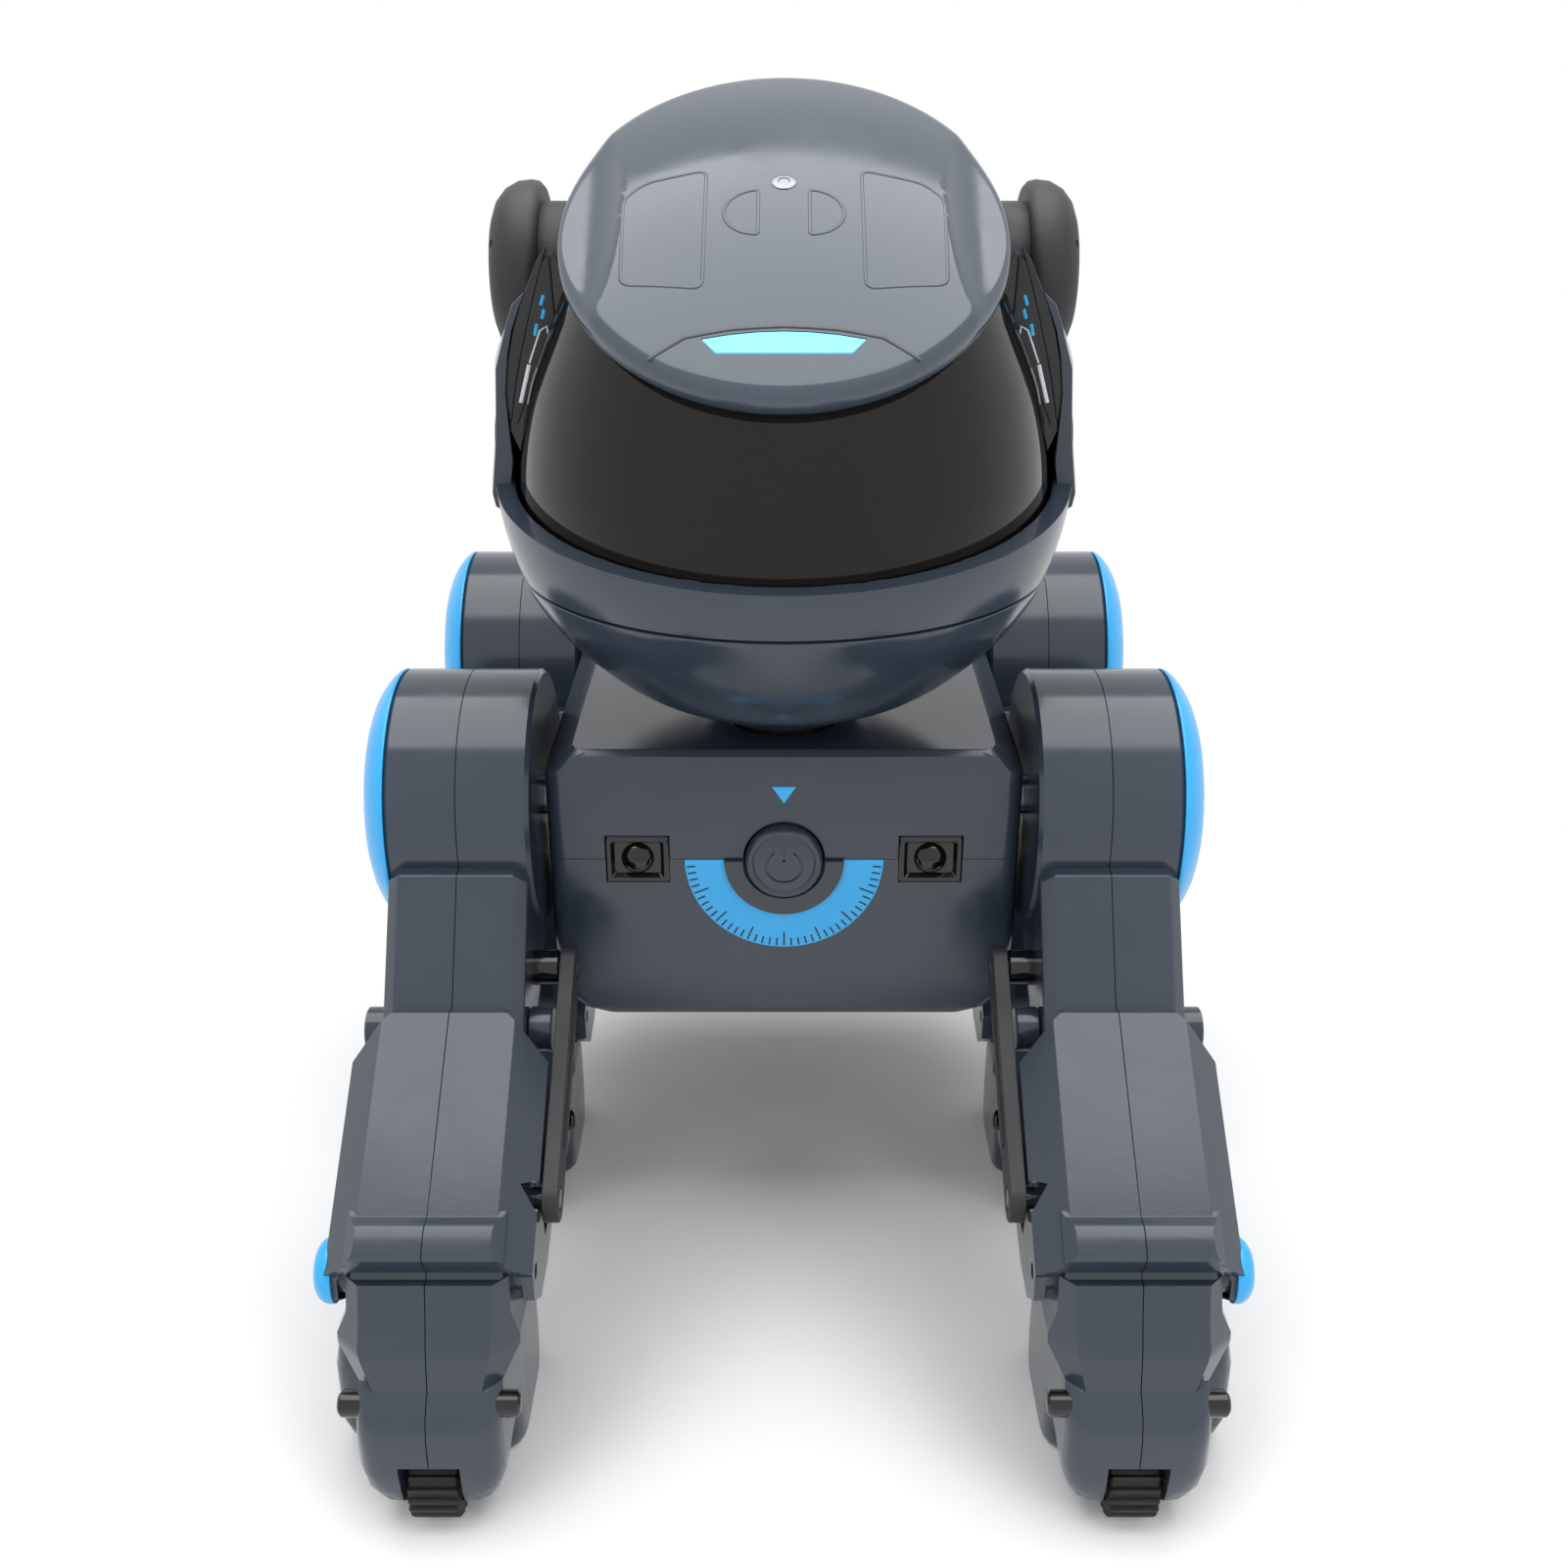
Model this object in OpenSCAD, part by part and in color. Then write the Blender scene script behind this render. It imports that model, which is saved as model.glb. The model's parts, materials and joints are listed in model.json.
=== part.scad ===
// Walking robot dog: a box body, a round head with a wrap-around visor, and four jointed legs.
// The dog faces -Y and its left side is +X. Z is up and the floor is z = 0.

/* [Stance] */
// Distance between the front and rear hip axes
wheelbase = 85; // [84:1:105]
// Height of the hip axes above the floor
hip_height = 105; // [100:1:115]
// Distance from the middle plane to the seam of a leg
leg_track = 63; // [63:0.5:80]

/* [Body] */
// Width of the body
body_w = 95; // [80:1:95]
// Width of the belly behind the chest, clear of the rear leg links
belly_w = 78; // [60:1:78]
// How far the chest stands in front of the front hip axis
chest_reach = 14; // [12:0.5:15]
// Depth of the full-width chest, from its front face backwards
chest_depth = 22; // [18:1:24]
// How far the body runs behind the rear hip axis
body_tail = 16; // [12:1:24]
// Height of the top of the body above the hip axis
body_rise = 15; // [13:0.5:18]
// Depth of the chest below the hip axis
chest_drop = 47; // [40:1:50]
// Depth of the seam between the body shells below the hip axis
seam_drop = 8; // [7:0.5:10]
// Wall of the body shells
body_wall = 2.5; // [2:0.1:4]

/* [Front panel] */
// Radius of the power button
button_r = 7.8; // [6:0.1:9]
// How far the power button stands out
button_out = 2.5; // [2:0.1:4]
// Travel of the power button
button_travel = 1.2; // [0.8:0.1:1.5]
// Outer radius of the half-ring dial
dial_r = 20; // [16:0.5:22]
// Width of the half-ring dial
dial_w = 8; // [5:0.5:9]
// Width of a sensor window
sensor_w = 13; // [10:0.5:14]
// Height of a sensor window
sensor_h = 10.5; // [8:0.5:12]
// Distance from the middle plane to the middle of a sensor window
sensor_x = 29.5; // [29:0.5:31]

/* [Hip] */
// Radius of the hip barrel
hip_r = 26; // [22:0.5:27]
// Width of the barrel on the inner side of the seam
barrel_in = 14; // [10:0.5:14]
// Width of the barrel on the outer side of the seam
barrel_out = 14; // [10:0.5:15]
// Thickness of the blue ring
ring_t = 5.5; // [4:0.5:12]
// Radius of the hip shaft
shaft_r = 4; // [3:0.1:5]

/* [Leg] */
// Wall of the leg shells
leg_wall = 2; // [1.6:0.1:2.4]
// Radius of the drum at the elbow end of the upper leg
elbow_r = 10.5; // [9:0.1:10.8]
// Width of the shin between its outer faces
shin_w = 37; // [34:0.5:37]
// Radius of the foot's barrel at the knee
knee_r = 7.5; // [6.5:0.1:7.7]
// Width of the foot below the knee
foot_w = 26; // [22:0.5:27]
// Radius of the elbow and knee pins
pin_r = 2.5; // [2:0.1:3]
// Radius of the link's end pins
link_pin_r = 2; // [1.5:0.1:2.2]
// Thickness of the link
link_t = 3; // [2:0.1:3.2]
// Radius of the walking wheel
wheel_r = 8; // [7:0.1:8.5]
// Width of the walking wheel
wheel_w = 9; // [7:0.1:10]
// Length of the foot from the wheel's axle back to the end of the heel
heel_len = 42; // [36:1:46]
// How far the heel flares outwards past the foot
heel_flare = 8.5; // [0:0.5:8.5]

/* [Head] */
// Radius of the head at its widest
head_r = 56; // [50:0.5:58]
// Wall of the head shells
head_wall = 2.5; // [2:0.1:3]
// Height of the head's middle above the top of the body
head_rise = 61; // [60:0.5:66]
// Width of the crown plate
crown_w = 82; // [70:1:84]
// Length of the crown plate
crown_l = 94; // [80:1:96]
// Forward slope of the crown plate in degrees
crown_slope = 29.5; // [25:0.5:32]
// Height of the dome of the crown plate above its rim
crown_dome = 7; // [4:0.5:9]

/* [Fits] */
// Radial clearance of a turning pin
run_fit = 0.05; // [0.03:0.01:0.1]
// Gap between pieces that move past each other
gap = 0.4; // [0.3:0.05:0.6]

/* [Hidden] */
$fn = 64;
eps = 0.01;
// Side-view points are [y, z] from the hip axis, with the front at negative y.
elbow = [-36, -34];
knee = [-75, -60];
link_arm = [10, 8];
wheel_at = [-86, wheel_r - hip_height];
foot_reach = 98;
arm_lean = 33.7;
shin_lean = 35.6;
shin_front = 13.1;

span_y = foot_reach + wheelbase + hip_r;
front_y = foot_reach - span_y / 2;
rear_y = front_y + wheelbase;
chest_y = front_y - chest_reach;
waist_y = chest_y + chest_depth;
tail_y = rear_y + body_tail;
top_z = hip_height + body_rise;
seam_z = hip_height - seam_drop;
floor_z = hip_height - chest_drop;
belly_z = floor_z + 5;
neck_y = front_y + 8;
head_z = top_z + head_rise;
neck_r = 12;
bowl_z = top_z + 2;
speaker_z = bowl_z + 9;
band_z = head_z - 27.7;
crown_y = neck_y - 5;
crown_z = head_z + 32.5;

LEGS = [
    ["front_left", 1, front_y], ["front_right", -1, front_y],
    ["rear_left", 1, rear_y], ["rear_right", -1, rear_y]
];
LEG_PARTS = [
    "upper_inner_shell", "upper_outer_shell", "hip_ring", "shin", "knee_cap",
    "link", "foot", "foot_bumper", "wheel"
];
BODY_PARTS = [
    "body_upper_shell", "chest_shell", "body_lower_shell", "battery_cover", "power_button",
    "dial_ring",
    "sensor_windows", "sensor_lenses", "control_board", "battery_pack", "leg_motors",
    "hip_shafts"
];
HEAD_PARTS = [
    "neck_post", "head_bowl", "visor_band", "visor", "crown", "crown_light", "touch_pads",
    "head_rear_shell", "side_panels", "ears", "face_display", "speaker"
];

// Extrudes a side-view outline from x0 to x1.
module slab(x0, x1, points) {
    translate([x0, 0, 0]) rotate([90, 0, 90]) linear_extrude(x1 - x0) polygon(points);
}

// A round bar along X, centred on a side-view point.
module bar(x0, x1, r, at = [0, 0]) {
    translate([x0, at[0], at[1]]) rotate([0, 90, 0]) cylinder(h = x1 - x0, r = r);
}

// A block between two corners.
module block(low, high) {
    translate(low) cube(high - low);
}

// Moves a side-view outline from the hip frame into the frame of a leg.
module leg_place(leg) {
    translate([0, leg[2], hip_height]) mirror([leg[1] < 0 ? 1 : 0, 0, 0]) children();
}

// ---- Upper leg ----
barrel_x0 = leg_track - barrel_in;
barrel_x1 = leg_track + barrel_out;
arm_dir = [sin(arm_lean), cos(arm_lean)];
arm_normal = [-cos(arm_lean), sin(arm_lean)];
arm_tuck = 0.3;
arm_top = elbow + (elbow_r - arm_tuck) * arm_normal + 29 * arm_dir;
link_top = elbow + link_arm;
link_end = knee + link_arm;

module upper_solid(x0, x1, inset = 0) {
    bar(x0, x1, hip_r - inset);
    slab(x0, x1, [
        arm_top + inset * [1, -0.5], elbow + (elbow_r - arm_tuck - inset) * arm_normal,
        elbow - (elbow_r - arm_tuck - inset) * arm_normal, [0, inset + 1 - hip_r], [0, 0]
    ]);
    bar(x0, x1, elbow_r - inset, elbow);
}

module upper_inner_shell() {
    color("#3b434c") difference() {
        union() {
            difference() {
                upper_solid(barrel_x0, leg_track);
                upper_solid(barrel_x0 + leg_wall, leg_track + eps, leg_wall);
            }
            bar(barrel_x0 + leg_wall - eps, leg_track, shaft_r + 3);
            bar(barrel_x0 + leg_wall - eps, leg_track, pin_r + 3, elbow);
        }
        bar(barrel_x0 - 1, leg_track + 1, shaft_r + run_fit);
        bar(barrel_x0 - 1, leg_track + 1, pin_r + run_fit, elbow);
    }
    color("#15171a") bar(link_x0 + eps, barrel_x0, link_pin_r, link_top);
    color("#15171a") bar(link_x1 + gap, barrel_x0, link_pin_r + 1.5, link_top);
}

module upper_outer_shell() {
    color("#3b434c") difference() {
        union() {
            difference() {
                upper_solid(leg_track, barrel_x1);
                upper_solid(leg_track - eps, barrel_x1 - leg_wall, leg_wall);
            }
            bar(barrel_x1 - eps, barrel_x1 + ring_t - 1, cap_r);
            bar(leg_track, barrel_x1 - leg_wall + eps, pin_r + 3, elbow);
        }
        bar(leg_track - 1, barrel_x1 + 1, pin_r + run_fit, elbow);
    }
}

// ---- Hip ring ----
cap_r = 15;

module hip_ring() {
    color("#2a9df4") translate([barrel_x1, 0, 0]) rotate([0, 90, 0]) rotate_extrude() polygon([
        [cap_r, 0], [hip_r, 0], [hip_r - 0.5, ring_t * 0.2], [hip_r - 3, ring_t * 0.6],
        [hip_r - 7, ring_t * 0.92], [hip_r - 9, ring_t], [cap_r, ring_t]
    ]);
}

// ---- Shin ----
shin_x0 = leg_track - shin_w / 2;
shin_x1 = leg_track + shin_w / 2;
shin_dir = [-cos(shin_lean), -sin(shin_lean)];
shin_normal = [-sin(shin_lean), cos(shin_lean)];
chamfer = 6;

// A side-view point in the frame of the shin: along it from the elbow, and out from its front face.
function shin_at(along, out) = elbow + along * shin_dir + (shin_front + out) * shin_normal;

module shin() {
    color("#3b434c") {
        difference() {
            union() {
                // front plate with chamfered corners over two side walls
                slab(shin_x0 + chamfer, shin_x1 - chamfer, [
                    shin_at(-3, 0), shin_at(45, 0), shin_at(45, -leg_wall), shin_at(-3, -leg_wall)
                ]);
                for (side = [0, 1]) shin_corner(side);
                for (x = [shin_x0, shin_x1 - leg_wall]) slab(x, x + leg_wall, shin_side);
                slab(shin_x0 + chamfer - 2, shin_x1 - chamfer + 2, [
                    shin_at(37, -0.5), shin_at(39, 1.8), shin_at(43, 1.8), shin_at(45, -1.2),
                    shin_at(44, -leg_wall), shin_at(37, -leg_wall)
                ]);
            }
            link_slot();
            upper_solid(barrel_x0 - gap, barrel_x1 + gap, -gap);
        }
        // the pins turn in the upper leg's bosses and in the foot's barrel
        bar(shin_x0 + 0.5, barrel_x0 + 10, pin_r, elbow);
        bar(barrel_x1 - 8, shin_x1 - 0.5, pin_r, elbow);
        bar(shin_x0 + 0.5, shin_x1 - 0.5, pin_r, knee);
        bar(shin_x0 + 0.5, barrel_x0 - gap, pin_r + 2, elbow);
        bar(barrel_x1 + gap, shin_x1 - 0.5, pin_r + 2, elbow);
    }
}

shin_side = [
    shin_at(3, -chamfer), shin_at(41, -chamfer), shin_at(47, -chamfer - 4),
    shin_at(46, -20), shin_at(34, -26), shin_at(10, -24), shin_at(-7, -19), shin_at(-8, -11)
];

module shin_corner(side) {
    x_wall = side == 0 ? shin_x0 : shin_x1;
    x_plate = side == 0 ? shin_x0 + chamfer : shin_x1 - chamfer;
    inward = side == 0 ? leg_wall : -leg_wall;
    frame_place() linear_extrude(48) polygon([
        [x_wall, -chamfer], [x_plate, 0], [x_plate, -leg_wall],
        [x_wall + inward, -chamfer], [x_wall + inward, -chamfer - 2], [x_wall, -chamfer - 2]
    ]);
}

// Puts an outline of [x, out] so that it extrudes along the shin from its top edge.
module frame_place() {
    start = shin_at(-3, 0);
    translate([0, start[0], start[1]]) rotate([90 + shin_lean, 0, 0]) children();
}

// A curved slot for the foot's link pin, with room for its swing.
module link_slot() {
    reach = norm(link_arm);
    middle = atan2(link_arm[1], link_arm[0]);
    intersection() {
        difference() {
            bar(shin_x0 - 1, shin_x0 + leg_wall + 1, reach + link_pin_r + 0.8, knee);
            bar(shin_x0 - 2, shin_x0 + leg_wall + 2, reach - link_pin_r - 0.8, knee);
        }
        slab(shin_x0 - 1, shin_x0 + leg_wall + 1, concat(
            [knee], [for (a = [-42 : 12 : 30]) knee + 40 * [cos(middle + a), sin(middle + a)]]
        ));
    }
}

module knee_cap() {
    color("#2a9df4") translate([shin_x1, knee[0], knee[1]]) rotate([0, 90, 0])
        cylinder(h = 2.6, r1 = 6, r2 = 4.5);
}

// ---- Link ----
link_x1 = shin_x0 - gap;
link_x0 = link_x1 - link_t;

module link() {
    color("#343b43") difference() {
        union() {
            slab(link_x0, link_x1, [
                link_top + [-2.8, 3.4], link_end + [-2.8, 3.4],
                link_end - [-2.8, 3.4], link_top - [-2.8, 3.4]
            ]);
            bar(link_x0, link_x1, 4.4, link_top);
            bar(link_x0, link_x1, 4.4, link_end);
        }
        bar(link_x0 - 1, link_x1 + 1, link_pin_r + run_fit, link_top);
        bar(link_x0 - 1, link_x1 + 1, link_pin_r + 0.3, link_end);
    }
}

// ---- Foot ----
foot_x0 = leg_track - foot_w / 2;
foot_x1 = leg_track + foot_w / 2;
knee_x0 = shin_x0 + leg_wall + gap;
barrel_half = foot_w / 2 + 0.5;
slot_w = wheel_w + 2;
bumper_at = [-88, 26 - hip_height];
bumper_r = 2.4;
heel_y = wheel_at[0] + wheel_r + 2;
heel_round = 8;

module foot() {
    color("#3b434c") difference() {
        union() {
            bar(leg_track - barrel_half, leg_track + barrel_half, knee_r, knee);
            slab(foot_x0 - 2.6, foot_x1 + 2.6, [
                knee + [-8.3, 3.4], knee + [-13, -9], knee + [-15, -17], knee + [3, -17],
                knee + [7, -2]
            ]);
            slab(foot_x0, foot_x1, [
                knee + [-15, -16], [-foot_reach, 24 - hip_height], [-foot_reach, 15 - hip_height],
                [-96.5, 8 - hip_height], [-92, 4 - hip_height], [-82, 3.5 - hip_height],
                [heel_y + 10, 3.5 - hip_height], [heel_y + 12, 18 - hip_height], knee + [3, -16]
            ]);
            heel();
            // crank that carries the link's lower pin
            slab(knee_x0, knee_x0 + 3, [
                knee + [2, 6], link_end + [-1.6, 2.4], link_end + [2.4, -1.6], knee + [6, -2]
            ]);
            bar(knee_x0, knee_x0 + 3, link_pin_r + 1, link_end);
            bar(link_x0, knee_x0 + eps, link_pin_r, link_end);
        }
        bar(knee_x0 - 1, foot_x1 + 5, pin_r + run_fit, knee);
        wheel_well();
        bar(foot_x0 - 1, foot_x1 + 1, bumper_r + run_fit, bumper_at);
    }
    color("#3b434c") bar(leg_track - slot_w / 2 - eps, leg_track + slot_w / 2 + eps, 1.5, wheel_at);
}

// The heel behind the wheel: it flares outwards, and its outer lower edge is rounded.
module heel() {
    heel_x1 = foot_x1 + heel_flare;
    heel_end = wheel_at[0] + heel_len;
    intersection() {
        slab(foot_x0, heel_x1, [
            [heel_y, -hip_height], [heel_y, 26 - hip_height], [heel_y + 6, 29 - hip_height],
            [heel_y + 14, 26 - hip_height], [heel_end, 9 - hip_height], [heel_end, 2 - hip_height],
            [heel_end - 2, -hip_height]
        ]);
        translate([0, heel_end + 1, -hip_height]) rotate([90, 0, 0]) linear_extrude(heel_len)
            polygon(concat(
                [[foot_x0 - 1, 40], [foot_x0 - 1, 0]],
                [for (a = [0 : 15 : 90])
                    [heel_x1 - heel_round + heel_round * sin(a), heel_round - heel_round * cos(a)]],
                [[heel_x1, 40]]
            ));
    }
}

module wheel_well() {
    bar(leg_track - slot_w / 2, leg_track + slot_w / 2, wheel_r + 1, wheel_at);
    slab(leg_track - slot_w / 2, leg_track + slot_w / 2, [
        wheel_at + [-20, -wheel_r * 0.2], wheel_at + [-20, -20], wheel_at + [8.4, -20],
        wheel_at + [8.4, 0]
    ]);
}

module foot_bumper() {
    color("#15171a") bar(foot_x0 - 3.2, foot_x1 + 3.2, bumper_r, bumper_at);
}

module wheel() {
    ribs = 18;
    color("#1b1b1c") difference() {
        bar(leg_track - wheel_w / 2, leg_track + wheel_w / 2, wheel_r, wheel_at);
        bar(leg_track - wheel_w, leg_track + wheel_w, 1.5 + run_fit, wheel_at);
        for (i = [0 : ribs - 1]) {
            bar(leg_track - wheel_w, leg_track + wheel_w, 0.45,
                wheel_at + wheel_r * [cos(360 * (i + 0.5) / ribs), sin(360 * (i + 0.5) / ribs)]);
        }
    }
}

module leg_part(part) {
    if (part == "upper_inner_shell") upper_inner_shell();
    if (part == "upper_outer_shell") upper_outer_shell();
    if (part == "hip_ring") hip_ring();
    if (part == "shin") shin();
    if (part == "knee_cap") knee_cap();
    if (part == "link") link();
    if (part == "foot") foot();
    if (part == "foot_bumper") foot_bumper();
    if (part == "wheel") wheel();
}

// ---- Body ----
half_w = body_w / 2;
belly_half = belly_w / 2;

// Plan outline of the body from its front face to its tail.
function plan(half, y0, y1, cut) = [
    [cut - half, y0], [half - cut, y0], [half, y0 + cut], [half, y1 - cut],
    [half - cut, y1], [cut - half, y1], [-half, y1 - cut], [-half, y0 + cut]
];

module prism(z0, z1, points) {
    translate([0, 0, z0]) linear_extrude(z1 - z0) polygon(points);
}

module body_upper_shell() {
    color("#3b434c") difference() {
        union() {
            prism(seam_z, top_z - 3, plan(half_w, chest_y, tail_y, 4));
            prism(top_z - 3 - eps, top_z, plan(half_w - 3, chest_y + 3, tail_y - 3, 4));
        }
        prism(seam_z - eps, top_z - 3 - body_wall,
            plan(half_w - body_wall, chest_y + body_wall, tail_y - body_wall, 4));
        prism(top_z - 6, top_z - body_wall, plan(half_w - 5.5, chest_y + 5.5, tail_y - 5.5, 4));
        translate([0, neck_y, seam_z]) cylinder(h = body_rise * 3, r = neck_r + gap);
        shaft_holes();
        front_cuts();
    }
}

module shaft_holes() {
    for (leg = LEGS) leg_place(leg) bar(half_w - 6, half_w + 1, shaft_r);
}

button_z = seam_z;

module front_cuts() {
    translate([0, chest_y, button_z]) rotate([-90, 0, 0])
        cylinder(h = 20, r = button_r + gap, center = true);
    for (side = [-1, 1]) {
        block([side * sensor_x - sensor_w / 2, chest_y - 1, seam_z - sensor_h / 2],
            [side * sensor_x + sensor_w / 2, chest_y + body_wall + 1, seam_z + sensor_h / 2]);
    }
    half_ring(dial_r + 0.1, dial_r - dial_w - 0.1, chest_y - 1, chest_y + 0.8, seam_z + 1);
}

// The lower half of a flat ring on the front panel, from y0 to y1.
module half_ring(r_out, r_in, y0, y1, z_top) {
    intersection() {
        translate([0, y0, button_z]) rotate([-90, 0, 0]) difference() {
            cylinder(h = y1 - y0, r = r_out);
            translate([0, 0, -1]) cylinder(h = y1 - y0 + 2, r = r_in);
        }
        block([-50, y0 - 1, button_z - 50], [50, y1 + 1, z_top]);
    }
}

// The lower housing is a chest as wide as the body, and a narrower belly behind it.
module chest_shell() {
    color("#3b434c") difference() {
        chest_solid(0);
        chest_solid(body_wall);
        belly_hollow();
        front_cuts();
    }
}

module body_lower_shell() {
    color("#3b434c") difference() {
        intersection() {
            prism(belly_z, seam_z, plan(belly_half, waist_y - 6, tail_y, 3));
            block([-80, waist_y, 0], [80, tail_y + 1, top_z]);
        }
        belly_hollow();
        block([-24, waist_y + 6, belly_z - 1], [24, tail_y - 10, belly_z + body_wall + 1]);
    }
}

// The room inside the belly, which opens into the chest.
module belly_hollow() {
    prism(belly_z + body_wall, seam_z + eps,
        plan(belly_half - body_wall, waist_y - 8, tail_y - body_wall, 3));
}

// The chest with a bevelled underside, made smaller all round by inset.
module chest_solid(inset) {
    w = half_w - inset;
    z0 = floor_z + inset;
    z1 = inset > 0 ? seam_z + eps : seam_z;
    y0 = chest_y + inset;
    intersection() {
        prism(z0, z1, plan(w, y0, waist_y - inset, 4));
        translate([0, waist_y, 0]) rotate([90, 0, 0]) linear_extrude(chest_depth) polygon([
            [-w, z1], [-w, floor_z + 15], [-w + 9, z0], [w - 9, z0], [w, floor_z + 15], [w, z1]
        ]);
    }
}

module battery_cover() {
    color("#2e343b") difference() {
        block([-23.8, waist_y + 6.2, belly_z], [23.8, tail_y - 10.2, belly_z + body_wall]);
        for (y = [waist_y + 12, tail_y - 16]) {
            translate([0, y, belly_z - 1]) cylinder(h = body_wall + 2, r = 1.5);
        }
    }
}

// The button's cap with its guide stem behind it.
module power_button() {
    color("#343b43") translate([0, chest_y - button_out, button_z]) rotate([-90, 0, 0]) {
        cylinder(h = button_out + body_wall + 1, r = button_r);
        cylinder(h = button_out + body_wall + button_travel + 4, r = 3);
    }
}

module dial_ring() {
    color("#2a9df4") half_ring(dial_r, dial_r - dial_w, chest_y - 0.3, chest_y + 0.8, seam_z);
}

module sensor_windows() {
    inset = 0.1;
    for (side = [-1, 1]) {
        color("#17181a") difference() {
            block([side * sensor_x - sensor_w / 2 + inset, chest_y - 0.4, seam_z - sensor_h / 2 + inset],
                [side * sensor_x + sensor_w / 2 - inset, chest_y + body_wall + 1,
                seam_z + sensor_h / 2 - inset]);
            translate([side * sensor_x, chest_y - 1, seam_z]) rotate([-90, 0, 0])
                cylinder(h = body_wall, r = 3.6);
        }
    }
}

module sensor_lenses() {
    color("#050506") for (side = [-1, 1]) {
        translate([side * sensor_x, chest_y + body_wall - 1, seam_z]) rotate([90, 0, 0])
            cylinder(h = body_wall - 1, r = 2.8);
        translate([side * sensor_x, chest_y, seam_z]) intersection() {
            sphere(r = 2.8);
            translate([-5, -5, -5]) cube([10, 5 + eps, 10]);
        }
    }
}

module control_board() {
    color("#1d5c3a") block([-32, front_y - 4, belly_z + 26], [32, rear_y - 10, belly_z + 27.6]);
    color("#1d5c3a") for (x = [-30, 30]) for (y = [front_y, rear_y - 14]) {
        translate([x, y, belly_z + body_wall]) cylinder(h = 26 - body_wall, r = 2.5);
    }
}

module battery_pack() {
    color("#2d5fae") block(
        [-20, waist_y + 10, belly_z + body_wall + 0.2], [20, rear_y - 18, belly_z + 21]
    );
}

module leg_motors() {
    color("#8b8f94") for (leg = LEGS) leg_place(leg) difference() {
        block([half_w - 18, -7.4, -7], [half_w - body_wall - 0.3, 7.4, 8]);
        bar(half_w - 20, half_w, shaft_r);
    }
}

module hip_shafts() {
    color("#b9bcc0") for (leg = LEGS) leg_place(leg) {
        bar(half_w - 14, leg_track - 1, shaft_r);
    }
}

// ---- Head ----
// Outline of the head: height from its middle, and radius as a share of its widest.
HEAD_OUTLINE = [
    [-57, 0.31], [-51, 0.56], [-41, 0.77], [-31, 0.9], [-21, 0.965], [-11, 0.995], [0, 1],
    [11, 0.95], [22, 0.84], [33, 0.74], [44, 0.67], [56, 0.61]
];

// Radius of the outside of the head at a height, less an inset.
function head_at(z, inset = 0) = head_r * lookup(z - head_z, HEAD_OUTLINE) - inset;

function head_profile(z0, z1, inset) = concat(
    [[head_at(z0, inset), z0]],
    [for (p = HEAD_OUTLINE) let (z = head_z + p[0]) if (z > z0 && z < z1) [head_at(z, inset), z]],
    [[head_at(z1, inset), z1]]
);

// Points in the opposite order.
function backwards(points) = [for (i = [len(points) - 1 : -1 : 0]) points[i]];

// A hollow round shell of the head between two heights.
module head_shell(z0, z1, outer, inner) {
    translate([0, neck_y, 0]) rotate_extrude($fn = 96) polygon(concat(
        head_profile(z0, z1, outer), backwards(head_profile(z0, z1, inner))
    ));
}

// The head filled in, grown by a gap.
module head_solid(grow) {
    translate([0, neck_y, 0]) rotate_extrude($fn = 96) polygon(concat(
        [[0, bowl_z]], head_profile(bowl_z, head_z + 56, -grow), [[0, head_z + 56]]
    ));
}

module neck_post() {
    color("#22262b") translate([0, neck_y, 0]) {
        translate([0, 0, top_z - body_wall - 2.5]) cylinder(h = 2, r = neck_r + 2);
        translate([0, 0, top_z - body_wall - 1]) cylinder(h = speaker_z - top_z + body_wall + 1, r = neck_r);
        translate([0, 0, top_z + gap]) cylinder(h = bowl_z - top_z - gap, r = 17);
    }
}

module head_bowl() {
    color("#3b434c") difference() {
        union() {
            head_shell(bowl_z, band_z, 0, head_wall);
            translate([0, neck_y, bowl_z]) cylinder(h = head_wall, r = head_at(bowl_z) - 1);
            translate([0, neck_y, band_z - 2]) cylinder(h = 2, r = head_at(band_z) - 1);
        }
        translate([0, neck_y, bowl_z - 1]) cylinder(h = head_wall + 2, r = neck_r + 0.15);
        translate([0, neck_y, band_z - 5]) cylinder(h = 8, r = 10);
    }
}

// Space above a plane that rises from z_front at the face to the back of the head.
module above(z_front, rise, height = 120) {
    translate([0, neck_y - head_r, z_front]) rotate([rise, 0, 0])
        translate([-80, -20, 0]) cube([160, 240, height]);
}

// Space above the underside of the crown plate.
module above_crown(lift = 0) {
    crown_frame() translate([-80, -100, lift]) cube([160, 200, 120]);
}

module crown_frame() {
    translate([0, crown_y, crown_z]) rotate([crown_slope, 0, 0]) children();
}

band_rise = 9;
rear_cut = neck_y + 12;

module visor_band() {
    color("#414954") difference() {
        head_shell(band_z, head_z + 2, 0.5, 0.5 + head_wall);
        above(head_z - 18.7, band_rise);
        translate([-80, rear_cut, 0]) cube([160, 120, 300]);
    }
}

module visor() {
    color("#1c1a18") difference() {
        translate([0, neck_y, 0]) rotate_extrude($fn = 96) polygon([
            [head_r - 6, head_z - 20], [head_r - 5, head_z - 8], [head_r - 7.5, head_z + 6],
            [head_r - 15, head_z + 24], [head_r - 17, head_z + 24],
            [head_r - 9.5, head_z + 6], [head_r - 7, head_z - 8], [head_r - 8, head_z - 20]
        ]);
        translate([-80, neck_y - 6, 0]) cube([160, 120, 300]);
        above_crown(-0.2);
    }
}

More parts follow.
